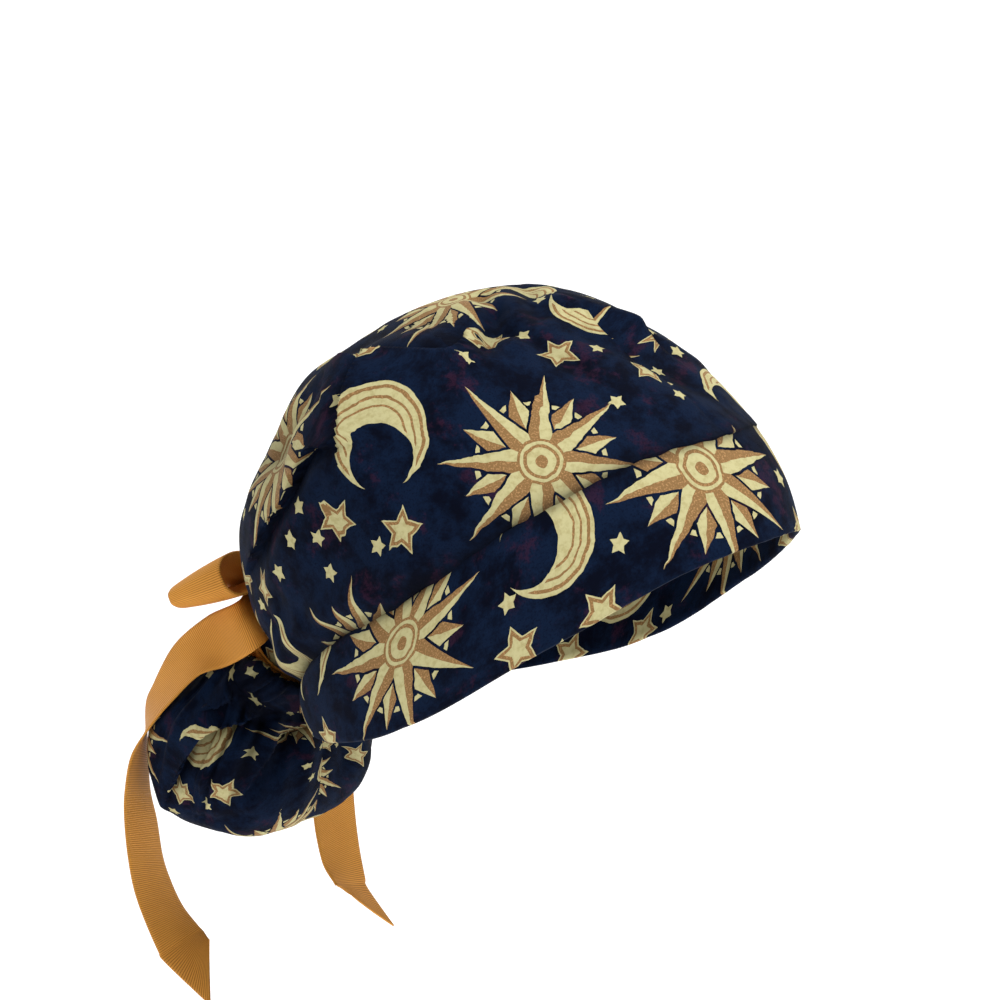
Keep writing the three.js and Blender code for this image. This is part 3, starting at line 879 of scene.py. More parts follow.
def draw_rose(w, u, v):
    centre_u, centre_v, chance = motif_cells(w, u, v, BRICK_WIDTH, BRICK_HEIGHT, 0, 3, 1.0)
    radius, angle = from_middle(w, u, v, centre_u, centre_v)
    angle = w.math("MULTIPLY_ADD", chance, TURN, angle)
    between_points = w.math("ADD", angle, TURN / ROSE_POINTS / 2)
    long_depth = star_depth(w, radius, angle, ROSE_POINTS, ROSE_LONG, 0.3)
    short_depth = star_depth(w, radius, between_points, ROSE_POINTS, ROSE_SHORT, 0.5)
    long_ray = w.math("GREATER_THAN", long_depth, 0)
    short_ray = w.both(w.math("GREATER_THAN", short_depth, 0), w.below(long_depth, LINE_GAP))
    clear_of_rays = w.both(w.below(long_depth, LINE_GAP), w.below(short_depth, LINE_GAP))
    ring = w.both(ring_line(w, radius, 21.6, 23.4), clear_of_rays)
    whole = w.either(long_ray, short_ray, w.below(radius, ROSE_HUB), ring)
    return whole, rose_shading(w, radius, angle, between_points, long_ray, short_ray)


print("a rose is", 2 * ROSE_LONG, "mm across")

# %% [markdown]
# Between two roses lies a plain crescent: a disc with a smaller disc taken out of it. Lines that follow
# its outer edge are depths from that edge, so they end where the crescent does.

# %% The crescent
CRESCENT_RADIUS = 18.5
CRESCENT_BITE = 12.0
CRESCENT_SHIFT = 7.5
CRESCENT_LINES = [(1.3, 2.5), (4.4, 5.2), (7.2, 8.0)]


def draw_crescent(w, u, v):
    centre_u, centre_v, chance = motif_cells(w, u, v, BRICK_WIDTH, BRICK_HEIGHT, BRICK_WIDTH / 2, 4, 2.0)
    radius, unused = from_middle(w, u, v, centre_u, centre_v)
    lean = w.math("MULTIPLY", chance, TURN)
    bite_u = w.math("MULTIPLY_ADD", w.math("COSINE", lean), CRESCENT_SHIFT, centre_u)
    bite_v = w.math("MULTIPLY_ADD", w.math("SINE", lean), CRESCENT_SHIFT, centre_v)
    bite, unused = from_middle(w, u, v, bite_u, bite_v)
    outer = w.math("SUBTRACT", CRESCENT_RADIUS, radius)
    depth = w.math("MINIMUM", outer, w.math("SUBTRACT", bite, CRESCENT_BITE))
    lines = w.either(*(ring_line(w, outer, *line) for line in CRESCENT_LINES))
    return w.math("GREATER_THAN", depth, 0), w.both(lines, w.math("GREATER_THAN", depth, 1.1))


print("a crescent is", 2 * CRESCENT_RADIUS, "mm across")

# %% [markdown]
# Stars fill what is left. Each asks how far its own middle is from the large motifs, and is left out if
# it would touch one. Asking at the star's middle, and not at the place being coloured, keeps or drops a
# star whole.

# %% Room for stars
def clear_of_large(w, u, v, margin):
    rose_u, rose_v, unused = motif_cells(w, u, v, BRICK_WIDTH, BRICK_HEIGHT, 0, 3, 1.0)
    from_rose, unused = from_middle(w, u, v, rose_u, rose_v)
    moon_u, moon_v, unused = motif_cells(w, u, v, BRICK_WIDTH, BRICK_HEIGHT, BRICK_WIDTH / 2, 4, 2.0)
    from_moon, unused = from_middle(w, u, v, moon_u, moon_v)
    off_rose = w.math("GREATER_THAN", from_rose, ROSE_LONG + margin - 4)
    return w.both(off_rose, w.math("GREATER_THAN", from_moon, CRESCENT_RADIUS + margin))


print("stars keep", ROSE_LONG - 4, "mm from a rose's middle")

# %% Stars with a line inside
STAR_CELL = (31, 27)
STAR_RADIUS = 8.6


def draw_star(w, u, v):
    centre_u, centre_v, chance = motif_cells(w, u, v, *STAR_CELL, 0, 5, 3.0)
    radius, angle = from_middle(w, u, v, centre_u, centre_v)
    turned = w.math("MULTIPLY_ADD", chance, TURN, angle)
    depth = star_depth(w, radius, turned, 5, STAR_RADIUS, 0.5)
    kept = clear_of_large(w, centre_u, centre_v, STAR_RADIUS)
    whole = w.both(w.math("GREATER_THAN", depth, 0), kept)
    return whole, w.both(ring_line(w, depth, 0.5, 1.6), kept)


print("a star is", 2 * STAR_RADIUS, "mm across")

# %% Small plain stars
SMALL_CELL = (14.5, 13.5)
SMALL_RADIUS = 3.6
SMALL_DROPPED = 0.35


def draw_small_star(w, u, v):
    centre_u, centre_v, chance = motif_cells(w, u, v, *SMALL_CELL, 0, 3.2, 4.0)
    radius, angle = from_middle(w, u, v, centre_u, centre_v)
    turned = w.math("MULTIPLY_ADD", chance, 3 * TURN, angle)
    depth = star_depth(w, radius, turned, 5, SMALL_RADIUS, 0.55)
    large_u, large_v, unused = motif_cells(w, centre_u, centre_v, *STAR_CELL, 0, 5, 3.0)
    from_star, unused = from_middle(w, centre_u, centre_v, large_u, large_v)
    off_star = w.math("GREATER_THAN", from_star, STAR_RADIUS + SMALL_RADIUS - 1)
    kept = w.both(clear_of_large(w, centre_u, centre_v, SMALL_RADIUS), off_star)
    kept = w.both(kept, w.math("GREATER_THAN", chance, SMALL_DROPPED))
    return w.both(w.math("GREATER_THAN", depth, 0), kept)


print("a small star is", 2 * SMALL_RADIUS, "mm across")

# %% [markdown]
# The ground is a dyed navy that is never one colour: it drifts from lighter to nearly black, with faint
# plum clouds. One noise at one scale would look like marble, so three are laid over each other: wide
# drifts, plum patches and fine flecks.

# %% The dyed ground
NAVY = from_screen(11, 26, 50)
DEEP_NAVY = from_screen(3, 7, 23)
PLUM = from_screen(52, 26, 46)


def dyed_ground(w, place):
    drift = cloth_noise(w, place, 64, 6.0, 0.72)
    patch = cloth_noise(w, place, 48, 6.0, 0.72)
    fleck = cloth_noise(w, place, 1300, 2.0, 0.6)
    ground = mix(w, smooth_step(w, drift, 0.4, 0.62), NAVY, DEEP_NAVY)
    ground = mix(w, w.math("MULTIPLY", smooth_step(w, patch, 0.54, 0.64), 0.6), ground, PLUM)
    return mix(w, w.math("MULTIPLY", smooth_step(w, fleck, 0.5, 0.68), 0.55), ground, DEEP_NAVY)


print("navy as light:", np.round(NAVY[:3], 4))

# %% [markdown]
# The motifs are printed in a pale gold, and their lines in a bronze with small painted glints: specks of
# painted highlight. Both are a little worn, because pigment sits on top of the threads and rubs off them
# first.

# %% Gold and bronze
PALE_GOLD = from_screen(193, 186, 138)
WORN_GOLD = from_screen(174, 163, 114)
BRONZE = from_screen(136, 104, 66)
PAINTED_GLINT_BRONZE = from_screen(178, 138, 92)


def pale_gold(w, place):
    wear = cloth_noise(w, place, 420, 4.0, 0.7)
    return mix(w, smooth_step(w, wear, 0.42, 0.7), PALE_GOLD, WORN_GOLD)


def bronze_with_painted_glints(w, place):
    # Painted highlight: random specks of brighter bronze stand for glints.
    glints = smooth_step(w, cloth_noise(w, place, 1500, 2.0, 0.6), 0.5, 0.66)
    return mix(w, glints, BRONZE, PAINTED_GLINT_BRONZE)


print("gold as light:", np.round(PALE_GOLD[:3], 3))

# %% [markdown]
# The print goes into one node group, so that every piece of cotton shares it. Its edges are made a
# little unsteady, as hand-cut blocks print them, by moving the place that is read. It gives out the
# colour, where the pigment lies, and the height of the woven threads.

# %% The woven threads
THREAD_PITCH = 0.42


def weave_height(w, u, v):
    warp = w.math("SINE", w.math("MULTIPLY", u, TURN / THREAD_PITCH))
    weft = w.math("SINE", w.math("MULTIPLY", v, TURN / THREAD_PITCH))
    return w.math("MULTIPLY_ADD", w.both(warp, weft), 0.5, 0.5)


print("threads lie", THREAD_PITCH, "mm apart")

# %% The print as a node group
EDGE_WOBBLE = 1.6


def print_sockets(tree):
    tree.interface.new_socket("Map", in_out="INPUT", socket_type="NodeSocketVector")
    tree.interface.new_socket("Color", in_out="OUTPUT", socket_type="NodeSocketColor")
    tree.interface.new_socket("Motif", in_out="OUTPUT", socket_type="NodeSocketFloat")
    tree.interface.new_socket("Weave", in_out="OUTPUT", socket_type="NodeSocketFloat")


def unsteady_place(w, place):
    """The place on the cloth in millimetres, moved a little this way and that."""
    parts = w.put("ShaderNodeSeparateXYZ")
    w.feed(parts.inputs[0], place)
    u = w.math("MULTIPLY", parts.outputs[0], 1 / MM)
    v = w.math("MULTIPLY", parts.outputs[1], 1 / MM)
    wobble = w.math("SUBTRACT", cloth_noise(w, place, 190, 2.0), 0.5)
    u = w.math("MULTIPLY_ADD", wobble, EDGE_WOBBLE, u)
    return u, w.math("MULTIPLY_ADD", wobble, -EDGE_WOBBLE, v)


def build_print():
    tree = bpy.data.node_groups.new("night_sky_print", "ShaderNodeTree")
    print_sockets(tree)
    w = Wires(tree)
    place = w.put("NodeGroupInput").outputs[0]
    u, v = unsteady_place(w, place)
    rose, rose_detail = draw_rose(w, u, v)
    crescent, crescent_detail = draw_crescent(w, u, v)
    star, star_detail = draw_star(w, u, v)
    motif = w.either(rose, crescent, star, draw_small_star(w, u, v))
    detail = w.either(rose_detail, crescent_detail, star_detail)
    colour = mix(w, motif, dyed_ground(w, place), pale_gold(w, place))
    colour = mix(w, detail, colour, bronze_with_painted_glints(w, place))
    result = w.put("NodeGroupOutput")
    w.feed(result.inputs[0], colour)
    w.feed(result.inputs[1], motif)
    w.feed(result.inputs[2], weave_height(w, u, v))
    return tree


night_sky = build_print()
print("print group has", len(night_sky.nodes), "nodes")

# %% [markdown]
# Quilting cotton is dull, with a faint bloom of loose fibre. The gold is pigment, so it is a little
# smoother than the bare cloth. Lamps alone leave the folds too pale, so shade is painted into the print:
# each point's painted shade, from its folds, seams and gathers, darkens the print a little more.

# %% Painted shade in the folds
FOLD_SHADE_COLOUR = from_screen(4, 5, 12)
FOLD_DARKNESS = 0.85


def with_painted_fold_shade(w, colour):
    # Painted shade: the shade number painted on each point mixes the print towards a near-black.
    folded = w.put("ShaderNodeAttribute", attribute_name="painted_shade")
    shaded = w.math("MULTIPLY", folded.outputs["Fac"], FOLD_DARKNESS)
    return mix(w, shaded, colour, FOLD_SHADE_COLOUR)


print("the deepest fold is darkened by", FOLD_DARKNESS)

# %% [markdown]
# The weave is far finer than the picture can show, and is there for close views. A second, wider bump
# gives the cloth the soft crumple of cotton that has been washed and not ironed. Bump is enough for
# both, since neither would change an outline.

# %% Weave and crumple
THREAD_RELIEF = 0.1
CRUMPLE_RELIEF = 1.4


def cotton_relief(w, cloth_place, weave):
    thread = w.put("ShaderNodeBump")
    thread.inputs["Strength"].default_value = 0.35
    thread.inputs["Distance"].default_value = THREAD_RELIEF * MM
    w.feed(thread.inputs["Height"], weave)
    crumple = w.put("ShaderNodeBump")
    crumple.inputs["Strength"].default_value = 0.3
    crumple.inputs["Distance"].default_value = CRUMPLE_RELIEF * MM
    w.feed(crumple.inputs["Height"], cloth_noise(w, cloth_place, 70, 4.0, 0.55))
    w.feed(crumple.inputs["Normal"], thread.outputs[0])
    return crumple.outputs[0]


print("threads stand", THREAD_RELIEF, "mm high")

# %% Printed cotton
def new_finish(name):
    """A new material, its shader, and wires in it."""
    material = bpy.data.materials.new(name)
    material.use_nodes = True
    return material, material.node_tree.nodes["Principled BSDF"], Wires(material.node_tree)


def printed_cotton():
    material, shader, w = new_finish("crown_cotton")
    cloth_place = w.put("ShaderNodeUVMap", uv_map="cloth").outputs[0]
    printed = w.put("ShaderNodeGroup", node_tree=night_sky)
    w.feed(printed.inputs[0], cloth_place)
    w.feed(shader.inputs["Base Color"], with_painted_fold_shade(w, printed.outputs["Color"]))
    smoother = w.math("MULTIPLY_ADD", printed.outputs["Motif"], -0.18, 0.82)
    w.feed(shader.inputs["Roughness"], smoother)
    shader.inputs["Sheen Weight"].default_value = 0.006
    shader.inputs["Sheen Roughness"].default_value = 0.4
    shader.inputs["Specular IOR Level"].default_value = 0.05
    w.feed(shader.inputs["Normal"], cotton_relief(w, cloth_place, printed.outputs["Weave"]))
    return material


crown_cotton = printed_cotton()
print("cotton has", len(crown_cotton.node_tree.nodes), "nodes and the print inside it")

# %% [markdown]
# The tie is grosgrain, a ribbon with fine ribs across it. The ribs could be modelled, but at 0.7 mm apart
# that would take hundreds of thousands of faces. A sine along the ribbon's map gives each rib a rounded
# height and a duller groove with painted shade in it, and slow noise lets the dye drift.

# %% Ribbed ribbon
OCHRE = from_screen(233, 164, 74)
SHADE_AND_DYE_OCHRE = from_screen(140, 78, 18)
RIB_PITCH = 0.7
RIB_RELIEF = 0.16


def grosgrain():
    """Its map runs along the ribbon in x and across it in y, in metres."""
    material, shader, w = new_finish("ochre_ribbon")
    cloth_place = w.put("ShaderNodeUVMap", uv_map="cloth").outputs[0]
    parts = w.put("ShaderNodeSeparateXYZ")
    w.feed(parts.inputs[0], cloth_place)
    along = w.math("MULTIPLY", parts.outputs[0], math.pi / (RIB_PITCH * MM))
    rib = w.math("ABSOLUTE", w.math("SINE", along))
    groove = w.math("SUBTRACT", 1, smooth_step(w, rib, 0.0, 0.75))
    tone = cloth_noise(w, cloth_place, 60, 3.0)
    # Painted shade in each groove, three parts to one part of dye drift.
    shade = w.math("ADD", w.math("MULTIPLY", groove, 0.75), w.math("MULTIPLY", tone, 0.25))
    w.feed(shader.inputs["Base Color"], mix(w, shade, OCHRE, SHADE_AND_DYE_OCHRE))
    w.feed(shader.inputs["Roughness"], w.math("MULTIPLY_ADD", groove, 0.2, 0.5))
    shader.inputs["Sheen Weight"].default_value = 0.015
    shader.inputs["Specular IOR Level"].default_value = 0.1
    bump = w.put("ShaderNodeBump")
    bump.inputs["Strength"].default_value = 0.6
    bump.inputs["Distance"].default_value = RIB_RELIEF * MM
    w.feed(bump.inputs["Height"], rib)
    w.feed(shader.inputs["Normal"], bump.outputs[0])
    return material


ochre_ribbon = grosgrain()
print("ribs lie", RIB_PITCH, "mm apart")

# %% [markdown]
# The crown is one gathered piece. Above its seam the cloth puffs out where it was gathered, most at the
# sides and back, and small puckers run up from the stitches. Those are soft sums of bumps here, because
# their places don't matter as those of the folds do.

# %% Puff and puckers of the crown
PUFF = 4.2
PUFF_ABOVE = 9
PUFF_SPREAD = 6
PUFF_TURNS = (math.radians(22), math.radians(60))
FRONT_DIP = 0.8
crown_middle = in_cap(0.0, 0.0, CROWN_HEIGHT / 3)


def crown_puff(plain, turn, height):
    from_front = np.abs(np.mod(turn + math.pi, TURN) - math.pi)
    gathered = PUFF * smooth(from_front, *PUFF_TURNS) - FRONT_DIP
    puff = gathered * np.exp(-np.square((height - PUFF_ABOVE) / PUFF_SPREAD))
    pucker = np.exp(-height / 7) * rumple(plain * [1, 1, 0.25], 5.5, 3.0)
    broad = rumple(plain, 24, 11.0) * smooth(height, 3, 22)
    fine = rumple(plain, 9, 29.0) * smooth(height, 2, 14)
    return 0.9 * pucker + broad + 0.32 * fine + puff + centre_seam(plain)


print("the crown puffs out by", PUFF, "mm above its seam")

# %% [markdown]
# The crown's lowest edge turns in and tucks behind the band, so that the seam shows as a shadow with no
# gap. Cutting both pieces to the same line would leave slits of daylight wherever a fold lifts one of
# them.

# %% The crown's points
CROWN_COLUMNS = 330
CROWN_ROWS = 134
# How dark the painted shadow along the seam is.
SEAM_SHADE = 0.75
TUCK_ROWS = [(-2.2, -2.6), (-1.2, -1.5), (-0.4, -0.5)]


def crown_points():
    turn = np.linspace(0, TURN, CROWN_COLUMNS, endpoint=False)[None, :]
    start = seam_share(turn) + 0.004
    share = start + (1 - start) * np.linspace(0, 1, CROWN_ROWS)[:, None]
    plain = crown_surface(share, turn)
    outward = away_from(crown_middle, plain)
    points, valley = creased(plain, outward, CROWN_CREASES, crown_surface)
    points, pattern, shade, edges = lapped(points, outward, CROWN_LAPS, crown_surface)
    height = (plain - plain[:1]) @ up_cap
    points = points + crown_puff(plain, turn, height)[..., None] * outward
    # Painted shadow along the seam, fading over the lowest few millimetres, with half the creases' painted
    # shade added.
    shade = np.clip(np.maximum(shade, SEAM_SHADE * np.exp(-height / 3)) + 0.5 * valley, 0, 1)
    return points, pattern, shade, edges


def tucked_in(points, pattern, shade, edges):
    """The same cloth with rows below its foot that turn in behind the band."""
    inward_way = away_from(CROWN_FOOT, points[:1])
    tucks = [inward * inward_way + down * up_cap for down, inward in TUCK_ROWS]
    return (
        np.concatenate([*(points[:1] + tuck for tuck in tucks), points]),
        np.concatenate([*(pattern[:1] + tuck for tuck in tucks), pattern]),
        np.concatenate([*(shade[:1] for tuck in tucks), shade]),
        np.concatenate([*(edges[:1] for tuck in tucks), edges]),
    )


crown_grid, crown_pattern, crown_shade, crown_edges = tucked_in(*crown_points())
print("crown grid:", crown_grid.shape)

# %% Sew the crown
CROWN_MAP_WAY = (0.86, -0.2, 0.46)
CROWN_MAP_PLACES = [(20, 58), (260, 130)]

crown_map = cloth_maps(crown_pattern, crown_middle, CROWN_MAP_WAY, CROWN_MAP_PLACES)
crown_mesh = grid_mesh("crown_cloth", crown_grid, crown_map, True, crown_shade, crown_edges)
crown_cloth = add_piece("crown_cloth", crown_mesh, crown_cotton, "printed_cotton", "crown")
print("crown cloth:", round(area_of(crown_cloth) * 1e4), "square cm")

# %% [markdown]
# The pouch's neck leaves the crown square to its wall. Its frame is needed for three things: the hole in
# the crown, the pouch itself and the bow on top of it, so it is defined once.

# %% The neck's frame
NECK_HALF_WIDTH = 28
NECK_HALF_HEIGHT = 16
NECK_ABOVE_FOOT = 21
NECK_INSIDE = 11
NECK_OUTSIDE = 15
neck_middle = in_cap(0.0, CROWN_BACK, NECK_ABOVE_FOOT)


def in_neck(x, out, up):
    x, out, up = np.broadcast_arrays(np.asarray(x, float), out, up)
    return neck_middle + x[..., None] * across + out[..., None] * back_cap + up[..., None] * up_cap


def neck_ring(turn, out, grow):
    return in_neck(
        (NECK_HALF_WIDTH + grow) * np.cos(turn), out, (NECK_HALF_HEIGHT + grow) * np.sin(turn)
    )


print("neck is", 2 * NECK_HALF_WIDTH, "by", 2 * NECK_HALF_HEIGHT, "mm")

# %% [markdown]
# The crown has a real hole for the neck, with cloth edges. Faces could be deleted round it, which leaves
# steps, so a plug is cut out with a Boolean instead. The surface is kept as a tree first: later, rays
# cast at it find where the hem lies.

# %% The plug for the hole
HOLE_EASE = 0.5
PLUG_STEPS = 96


def neck_plug():
    turn = np.linspace(0, TURN, PLUG_STEPS, endpoint=False)
    points = np.concatenate([neck_ring(turn, -30.0, HOLE_EASE), neck_ring(turn, 20.0, HOLE_EASE)]) * MM
    n = PLUG_STEPS
    faces = [(i, n + i, n + (i + 1) % n, (i + 1) % n) for i in range(n)]
    faces += [tuple(range(n)), tuple(range(2 * n - 1, n - 1, -1))]
    mesh = bpy.data.meshes.new("neck_plug")
    mesh.from_pydata(points.tolist(), [], faces)
    plug = bpy.data.objects.new("neck_plug", mesh)
    bpy.context.collection.objects.link(plug)
    return plug


print("hole eased by", HOLE_EASE, "mm")

# %% Cut the hole
CROWN_CLOTH = 0.9

crown_tree = BVHTree.FromPolygons(
    [tuple(v.co) for v in crown_cloth.data.vertices],
    [tuple(p.vertices) for p in crown_cloth.data.polygons],
)
thicken(crown_cloth, CROWN_CLOTH)
plug = neck_plug()
hole = crown_cloth.modifiers.new("neck_hole", "BOOLEAN")
hole.operation = "DIFFERENCE"
hole.solver = "EXACT"
hole.object = plug
apply_modifiers(crown_cloth)
bpy.data.objects.remove(plug)
print("crown with its hole:", len(crown_cloth.data.polygons), "faces")

# %% [markdown]
# The band is two layers of the same cotton, turned over at the rim and at the top. Extruding a flat strip
# would give it hard edges. Its section is a thin loop instead, so both edges are round folds, and its
# inside is cloth too.

# %% Band sizes and surface
RIM_HALF_WIDTH = 76
RIM_FRONT = 98
RIM_BACK = 76
RIM_FRONT_UP = 36.5
RIM_BACK_UP = -52
BAND_BELLY = 2.5


def rim_points(turn):
    x, y = ring(turn, RIM_FRONT, RIM_BACK, RIM_HALF_WIDTH)
    return np.stack([x, y, RIM_BACK_UP + band_edge("rim", turn) * (RIM_FRONT_UP - RIM_BACK_UP)], -1)


def band_surface(share, turn):
    share, turn = np.broadcast_arrays(np.asarray(share, float), np.asarray(turn, float))
    low, high = rim_points(turn), crown_surface(seam_share(turn), turn)
    point = low + share[..., None] * (high - low)
    level = point * [1, 1, 0]
    outward = level / np.linalg.norm(level, axis=-1, keepdims=True)
    return point + (BAND_BELLY * np.sin(math.pi * share))[..., None] * outward, outward


print("rim at front and back:", np.round(rim_points(np.array([0.0, math.pi])), 1).tolist())

# %% The band's section
BAND_WALL = 2
BAND_STEPS = 22


def band_section():
    """Share of the way up and depth in the cloth, round the loop from the rim and back to it."""
    outer = np.linspace(0.02, 0.98, BAND_STEPS)
    section = [(0.0, 1.0)] + [(share, 0.0) for share in outer] + [(0.995, 1.0)]
    return section + [(share, 2.0) for share in outer[::-1]] + [(0.0, 1.0)]


print("the section has", len(band_section()), "points")

# %% The band's points
BAND_COLUMNS = 320
TOP_ROLL = 0.7


def band_row(turn, share, depth):
    point, outward = band_surface(np.full((1, 1), share), turn)
    tug = rumple(point * [1, 1, 0.5], 16, 5.0) * 0.45
    tug += rumple(point * [1, 1, 0.3], 5, 9.0) * 0.3 * (abs(share - 0.5) * 2) ** 3
    roll = TOP_ROLL * smooth(share, 0.84, 1) if depth < 1 else 0.0
    return point + (tug - roll - depth * BAND_WALL / 2)[..., None] * outward


around = np.linspace(0, TURN, BAND_COLUMNS, endpoint=False)[None, :]
band_grid = np.concatenate([band_row(around, share, depth) for share, depth in band_section()])
print("band grid:", band_grid.shape)

# %% [markdown]
# The band's map is a straight strip, as it was cut: along it runs the distance round the cap, and across
# it the height. It runs unbroken round the front, where it is seen, and its join is at the back.

# %% Sew the band
BAND_MAP_PLACE = (208, 12)
# How dark the painted shadow along the band's top edge is.
BAND_TOP_SHADE = 0.7


def band_maps(points, shares):
    middle = points[BAND_STEPS // 2]
    steps = np.linalg.norm(np.roll(middle, -1, axis=0) - middle, axis=1)
    run = np.concatenate([[0], np.cumsum(steps)[:-1]])
    back_way = np.where(run > 0, steps.sum() - run, 0.0)
    tall = np.linalg.norm(points[BAND_STEPS] - points[1], axis=-1)
    v = shares[:, None] * tall[None, :] + BAND_MAP_PLACE[1]
    right = np.stack([np.broadcast_to(BAND_MAP_PLACE[0] - run, v.shape), v], -1) * MM
    left = np.stack([np.broadcast_to(BAND_MAP_PLACE[0] + back_way, v.shape), v], -1) * MM
    return [right, left]


band_shares = np.array([share for share, depth in band_section()])
# Painted shadow along the band's top edge, under the crown's puff.
band_shade = BAND_TOP_SHADE * smooth(band_shares, 0.9, 1)[:, None] * np.ones((1, BAND_COLUMNS))
band_mesh = grid_mesh("band_cloth", band_grid, band_maps(band_grid, band_shares), True, band_shade)
band_cloth = add_piece("band_cloth", band_mesh, crown_cotton, "printed_cotton", "front_band")
print("band cloth:", round(area_of(band_cloth) * 1e4), "square cm, both layers")

# %% [markdown]
# The pouch starts inside the crown, is drawn in by the ribbon at its neck, and swells into a bag that
# sags by its own weight: round above, squarer below. A sphere pulled into shape would lose the neck. Its
# points run along arcs from the neck to the far end of the bag, so its rows are rings round the neck.

# %% Pouch sizes
POUCH_HALF_WIDTH = 44
POUCH_BACK = 35
POUCH_FRONT = 26
POUCH_TOP = 31
POUCH_BOTTOM = 39
POUCH_ROUND_TOP = 2
POUCH_SQUARE_BOTTOM = 3.2
pouch_middle = neck_middle + np.array([0, 25.5, -38.6])
print("pouch is", 2 * POUCH_HALF_WIDTH, "mm wide and", POUCH_TOP + POUCH_BOTTOM, "mm high")

# %% The pouch's surface
def bag_reach(way):
    """How far the bag reaches from its middle each way."""
    depth = np.where(way[..., 1] > 0, POUCH_BACK, POUCH_FRONT)
    height = np.where(way[..., 2] > 0, POUCH_TOP, POUCH_BOTTOM)
    rounder = smooth(way[..., 2], -0.4, 0.5)
    power = POUCH_SQUARE_BOTTOM + (POUCH_ROUND_TOP - POUCH_SQUARE_BOTTOM) * rounder
    halves = np.stack([np.full_like(depth, POUCH_HALF_WIDTH, dtype=float), depth, height], -1)
    whole = np.sum(np.power(np.abs(way) / halves, power[..., None]), axis=-1)
    return np.power(whole, -1 / power)


def pouch_surface(share, turn):
    share, turn = np.broadcast_arrays(np.asarray(share, float), np.asarray(turn, float))
    start = neck_ring(turn, NECK_OUTSIDE, 0) - pouch_middle
    start_reach = np.linalg.norm(start, axis=-1)
    from_way = start / start_reach[..., None]
    mouth = in_neck(0, NECK_OUTSIDE, 0) - pouch_middle
    bottom = -mouth / np.linalg.norm(mouth)
    angle = np.arccos(np.clip(from_way @ bottom, -1, 1)) * share
    side_way = bottom - (from_way @ bottom)[..., None] * from_way
    side_way /= np.linalg.norm(side_way, axis=-1, keepdims=True)
    way = from_way * np.cos(angle)[..., None] + side_way * np.sin(angle)[..., None]
    reach = start_reach + (bag_reach(way) - start_reach) * smooth(share, 0, 0.3)
    return pouch_middle + reach[..., None] * way


print("pouch from neck to end:", np.round(pouch_surface(0, 0), 1), np.round(pouch_surface(1, 0), 1))

# %% [markdown]
# A deep lap crosses each side of the pouch, and a valley runs from its neck towards the front. They are
# laid in with the same helpers as the crown's, at places counted from the neck.

# %% Where the pouch is creased
POUCH_CREASES = [
    (140, 0.44, 184, 0.24, 1, 9, 9),
    (160, 0.64, 204, 0.42, 1.6, 5, 5),
    (204, 0.42, 222, 0.18, 1.4, 5, 5),
    (282, 0.1, 284, 0.44, -2.4, 4, 4),
    (226, 0.06, 222, 0.2, -1.8, 4, 4),
    (110, 0.1, 104, 0.5, -2, 3, 5),
    (80, 0.1, 70, 0.46, -2, 4, 3),
    (208, 0.6, 236, 0.52, -1.2, 3, 4),
    (266, 0.1, 250, 0.24, -3.6, 5, 7),
    (250, 0.24, 240, 0.4, -3.0, 5, 7),
]
print("creases on the pouch:", len(POUCH_CREASES))

# %% Where the pouch's cloth laps
POUCH_LAPS = [
    ([(272, 0.02), (266, 0.08), (255, 0.19), (243, 0.235), (238, 0.31), (235, 0.37),
      (230, 0.5)], 6.5, 9, 8, 5),
    ([(226, 0.0), (222, 0.06), (212, 0.155), (202, 0.2), (192, 0.255), (181, 0.37), (172, 0.525),
      (160, 0.68)], 6.0, 12, 8, 13),
    ([(20, 0.68), (8, 0.525), (359, 0.37), (348, 0.255), (328, 0.155), (318, 0.06),
      (314, 0.0)], 6.0, 12, 8, 13),
    ([(290, 0.03), (296, 0.2), (300, 0.4)], 3.4, 7, 5, 7),
    ([(196, 0.04), (190, 0.14), (172, 0.24)], 2.4, 7, 5, 5),
    ([(120, 0.05), (122, 0.2), (116, 0.42)], 2.4, 7, 5, 6),
    ([(58, 0.42), (62, 0.2), (70, 0.05)], 2.4, 7, 5, 6),
]
print("laps on the pouch:", len(POUCH_LAPS))

# %% [markdown]
# Gathers run out from the neck and fade. Even waves would look like a cupcake case, so their turn is
# shaken first: some gathers come out wide and some narrow, with finer ones riding on them. Above the
# ribbon's lower side the cloth also bulges into a soft shoulder.

# %% Gathers
def shaken(turn):
    return turn + 0.25 * np.sin(3 * turn + 1) + 0.12 * np.sin(7 * turn)


def gathers(turn):
    """Lift of the gathers at each turn round the neck, with narrow valleys and broad tops."""
    large = 3.4 * np.power(np.abs(np.cos(6.5 * shaken(turn))), 0.7) - 2
    return large + np.cos(23 * shaken(turn) + 2)


print("gathers stand", round(float(gathers(np.linspace(0, TURN, 400)).max()), 1), "mm high at most")

# %% The pouch's neck and shoulder
SHOULDER_REACH = 9.5
SHOULDER_ROWS = [(-4.5, 2.5), (-8.5, 4), (-11.5, 6), (-12, 8.5), (-8.5, 10.5), (-3.5, 10.5)]


def shoulder_share(turn):
    return 1 - smooth(np.sin(turn), -0.25, 0.2)


def neck_rows(turn):
    """Rings from inside the crown to the bag, with a ruffle that hangs over the ribbon below."""
    rows = [neck_ring(turn, out, 0) for out in np.linspace(-NECK_INSIDE, NECK_OUTSIDE - 3, 9)]
    ruffled = 1 + 0.13 * np.cos(13 * shaken(turn)) + 0.07 * np.cos(29 * shaken(turn))
    for out, grow in SHOULDER_ROWS:
        ruffle = shoulder_share(turn) * grow * ruffled
        rows.append(neck_ring(turn, NECK_OUTSIDE + shoulder_share(turn) * out, ruffle))
    return np.concatenate(rows)


print("the shoulder reaches", SHOULDER_REACH, "mm sideways")

# %% The pouch's points
POUCH_COLUMNS = 240
POUCH_ROWS = 110


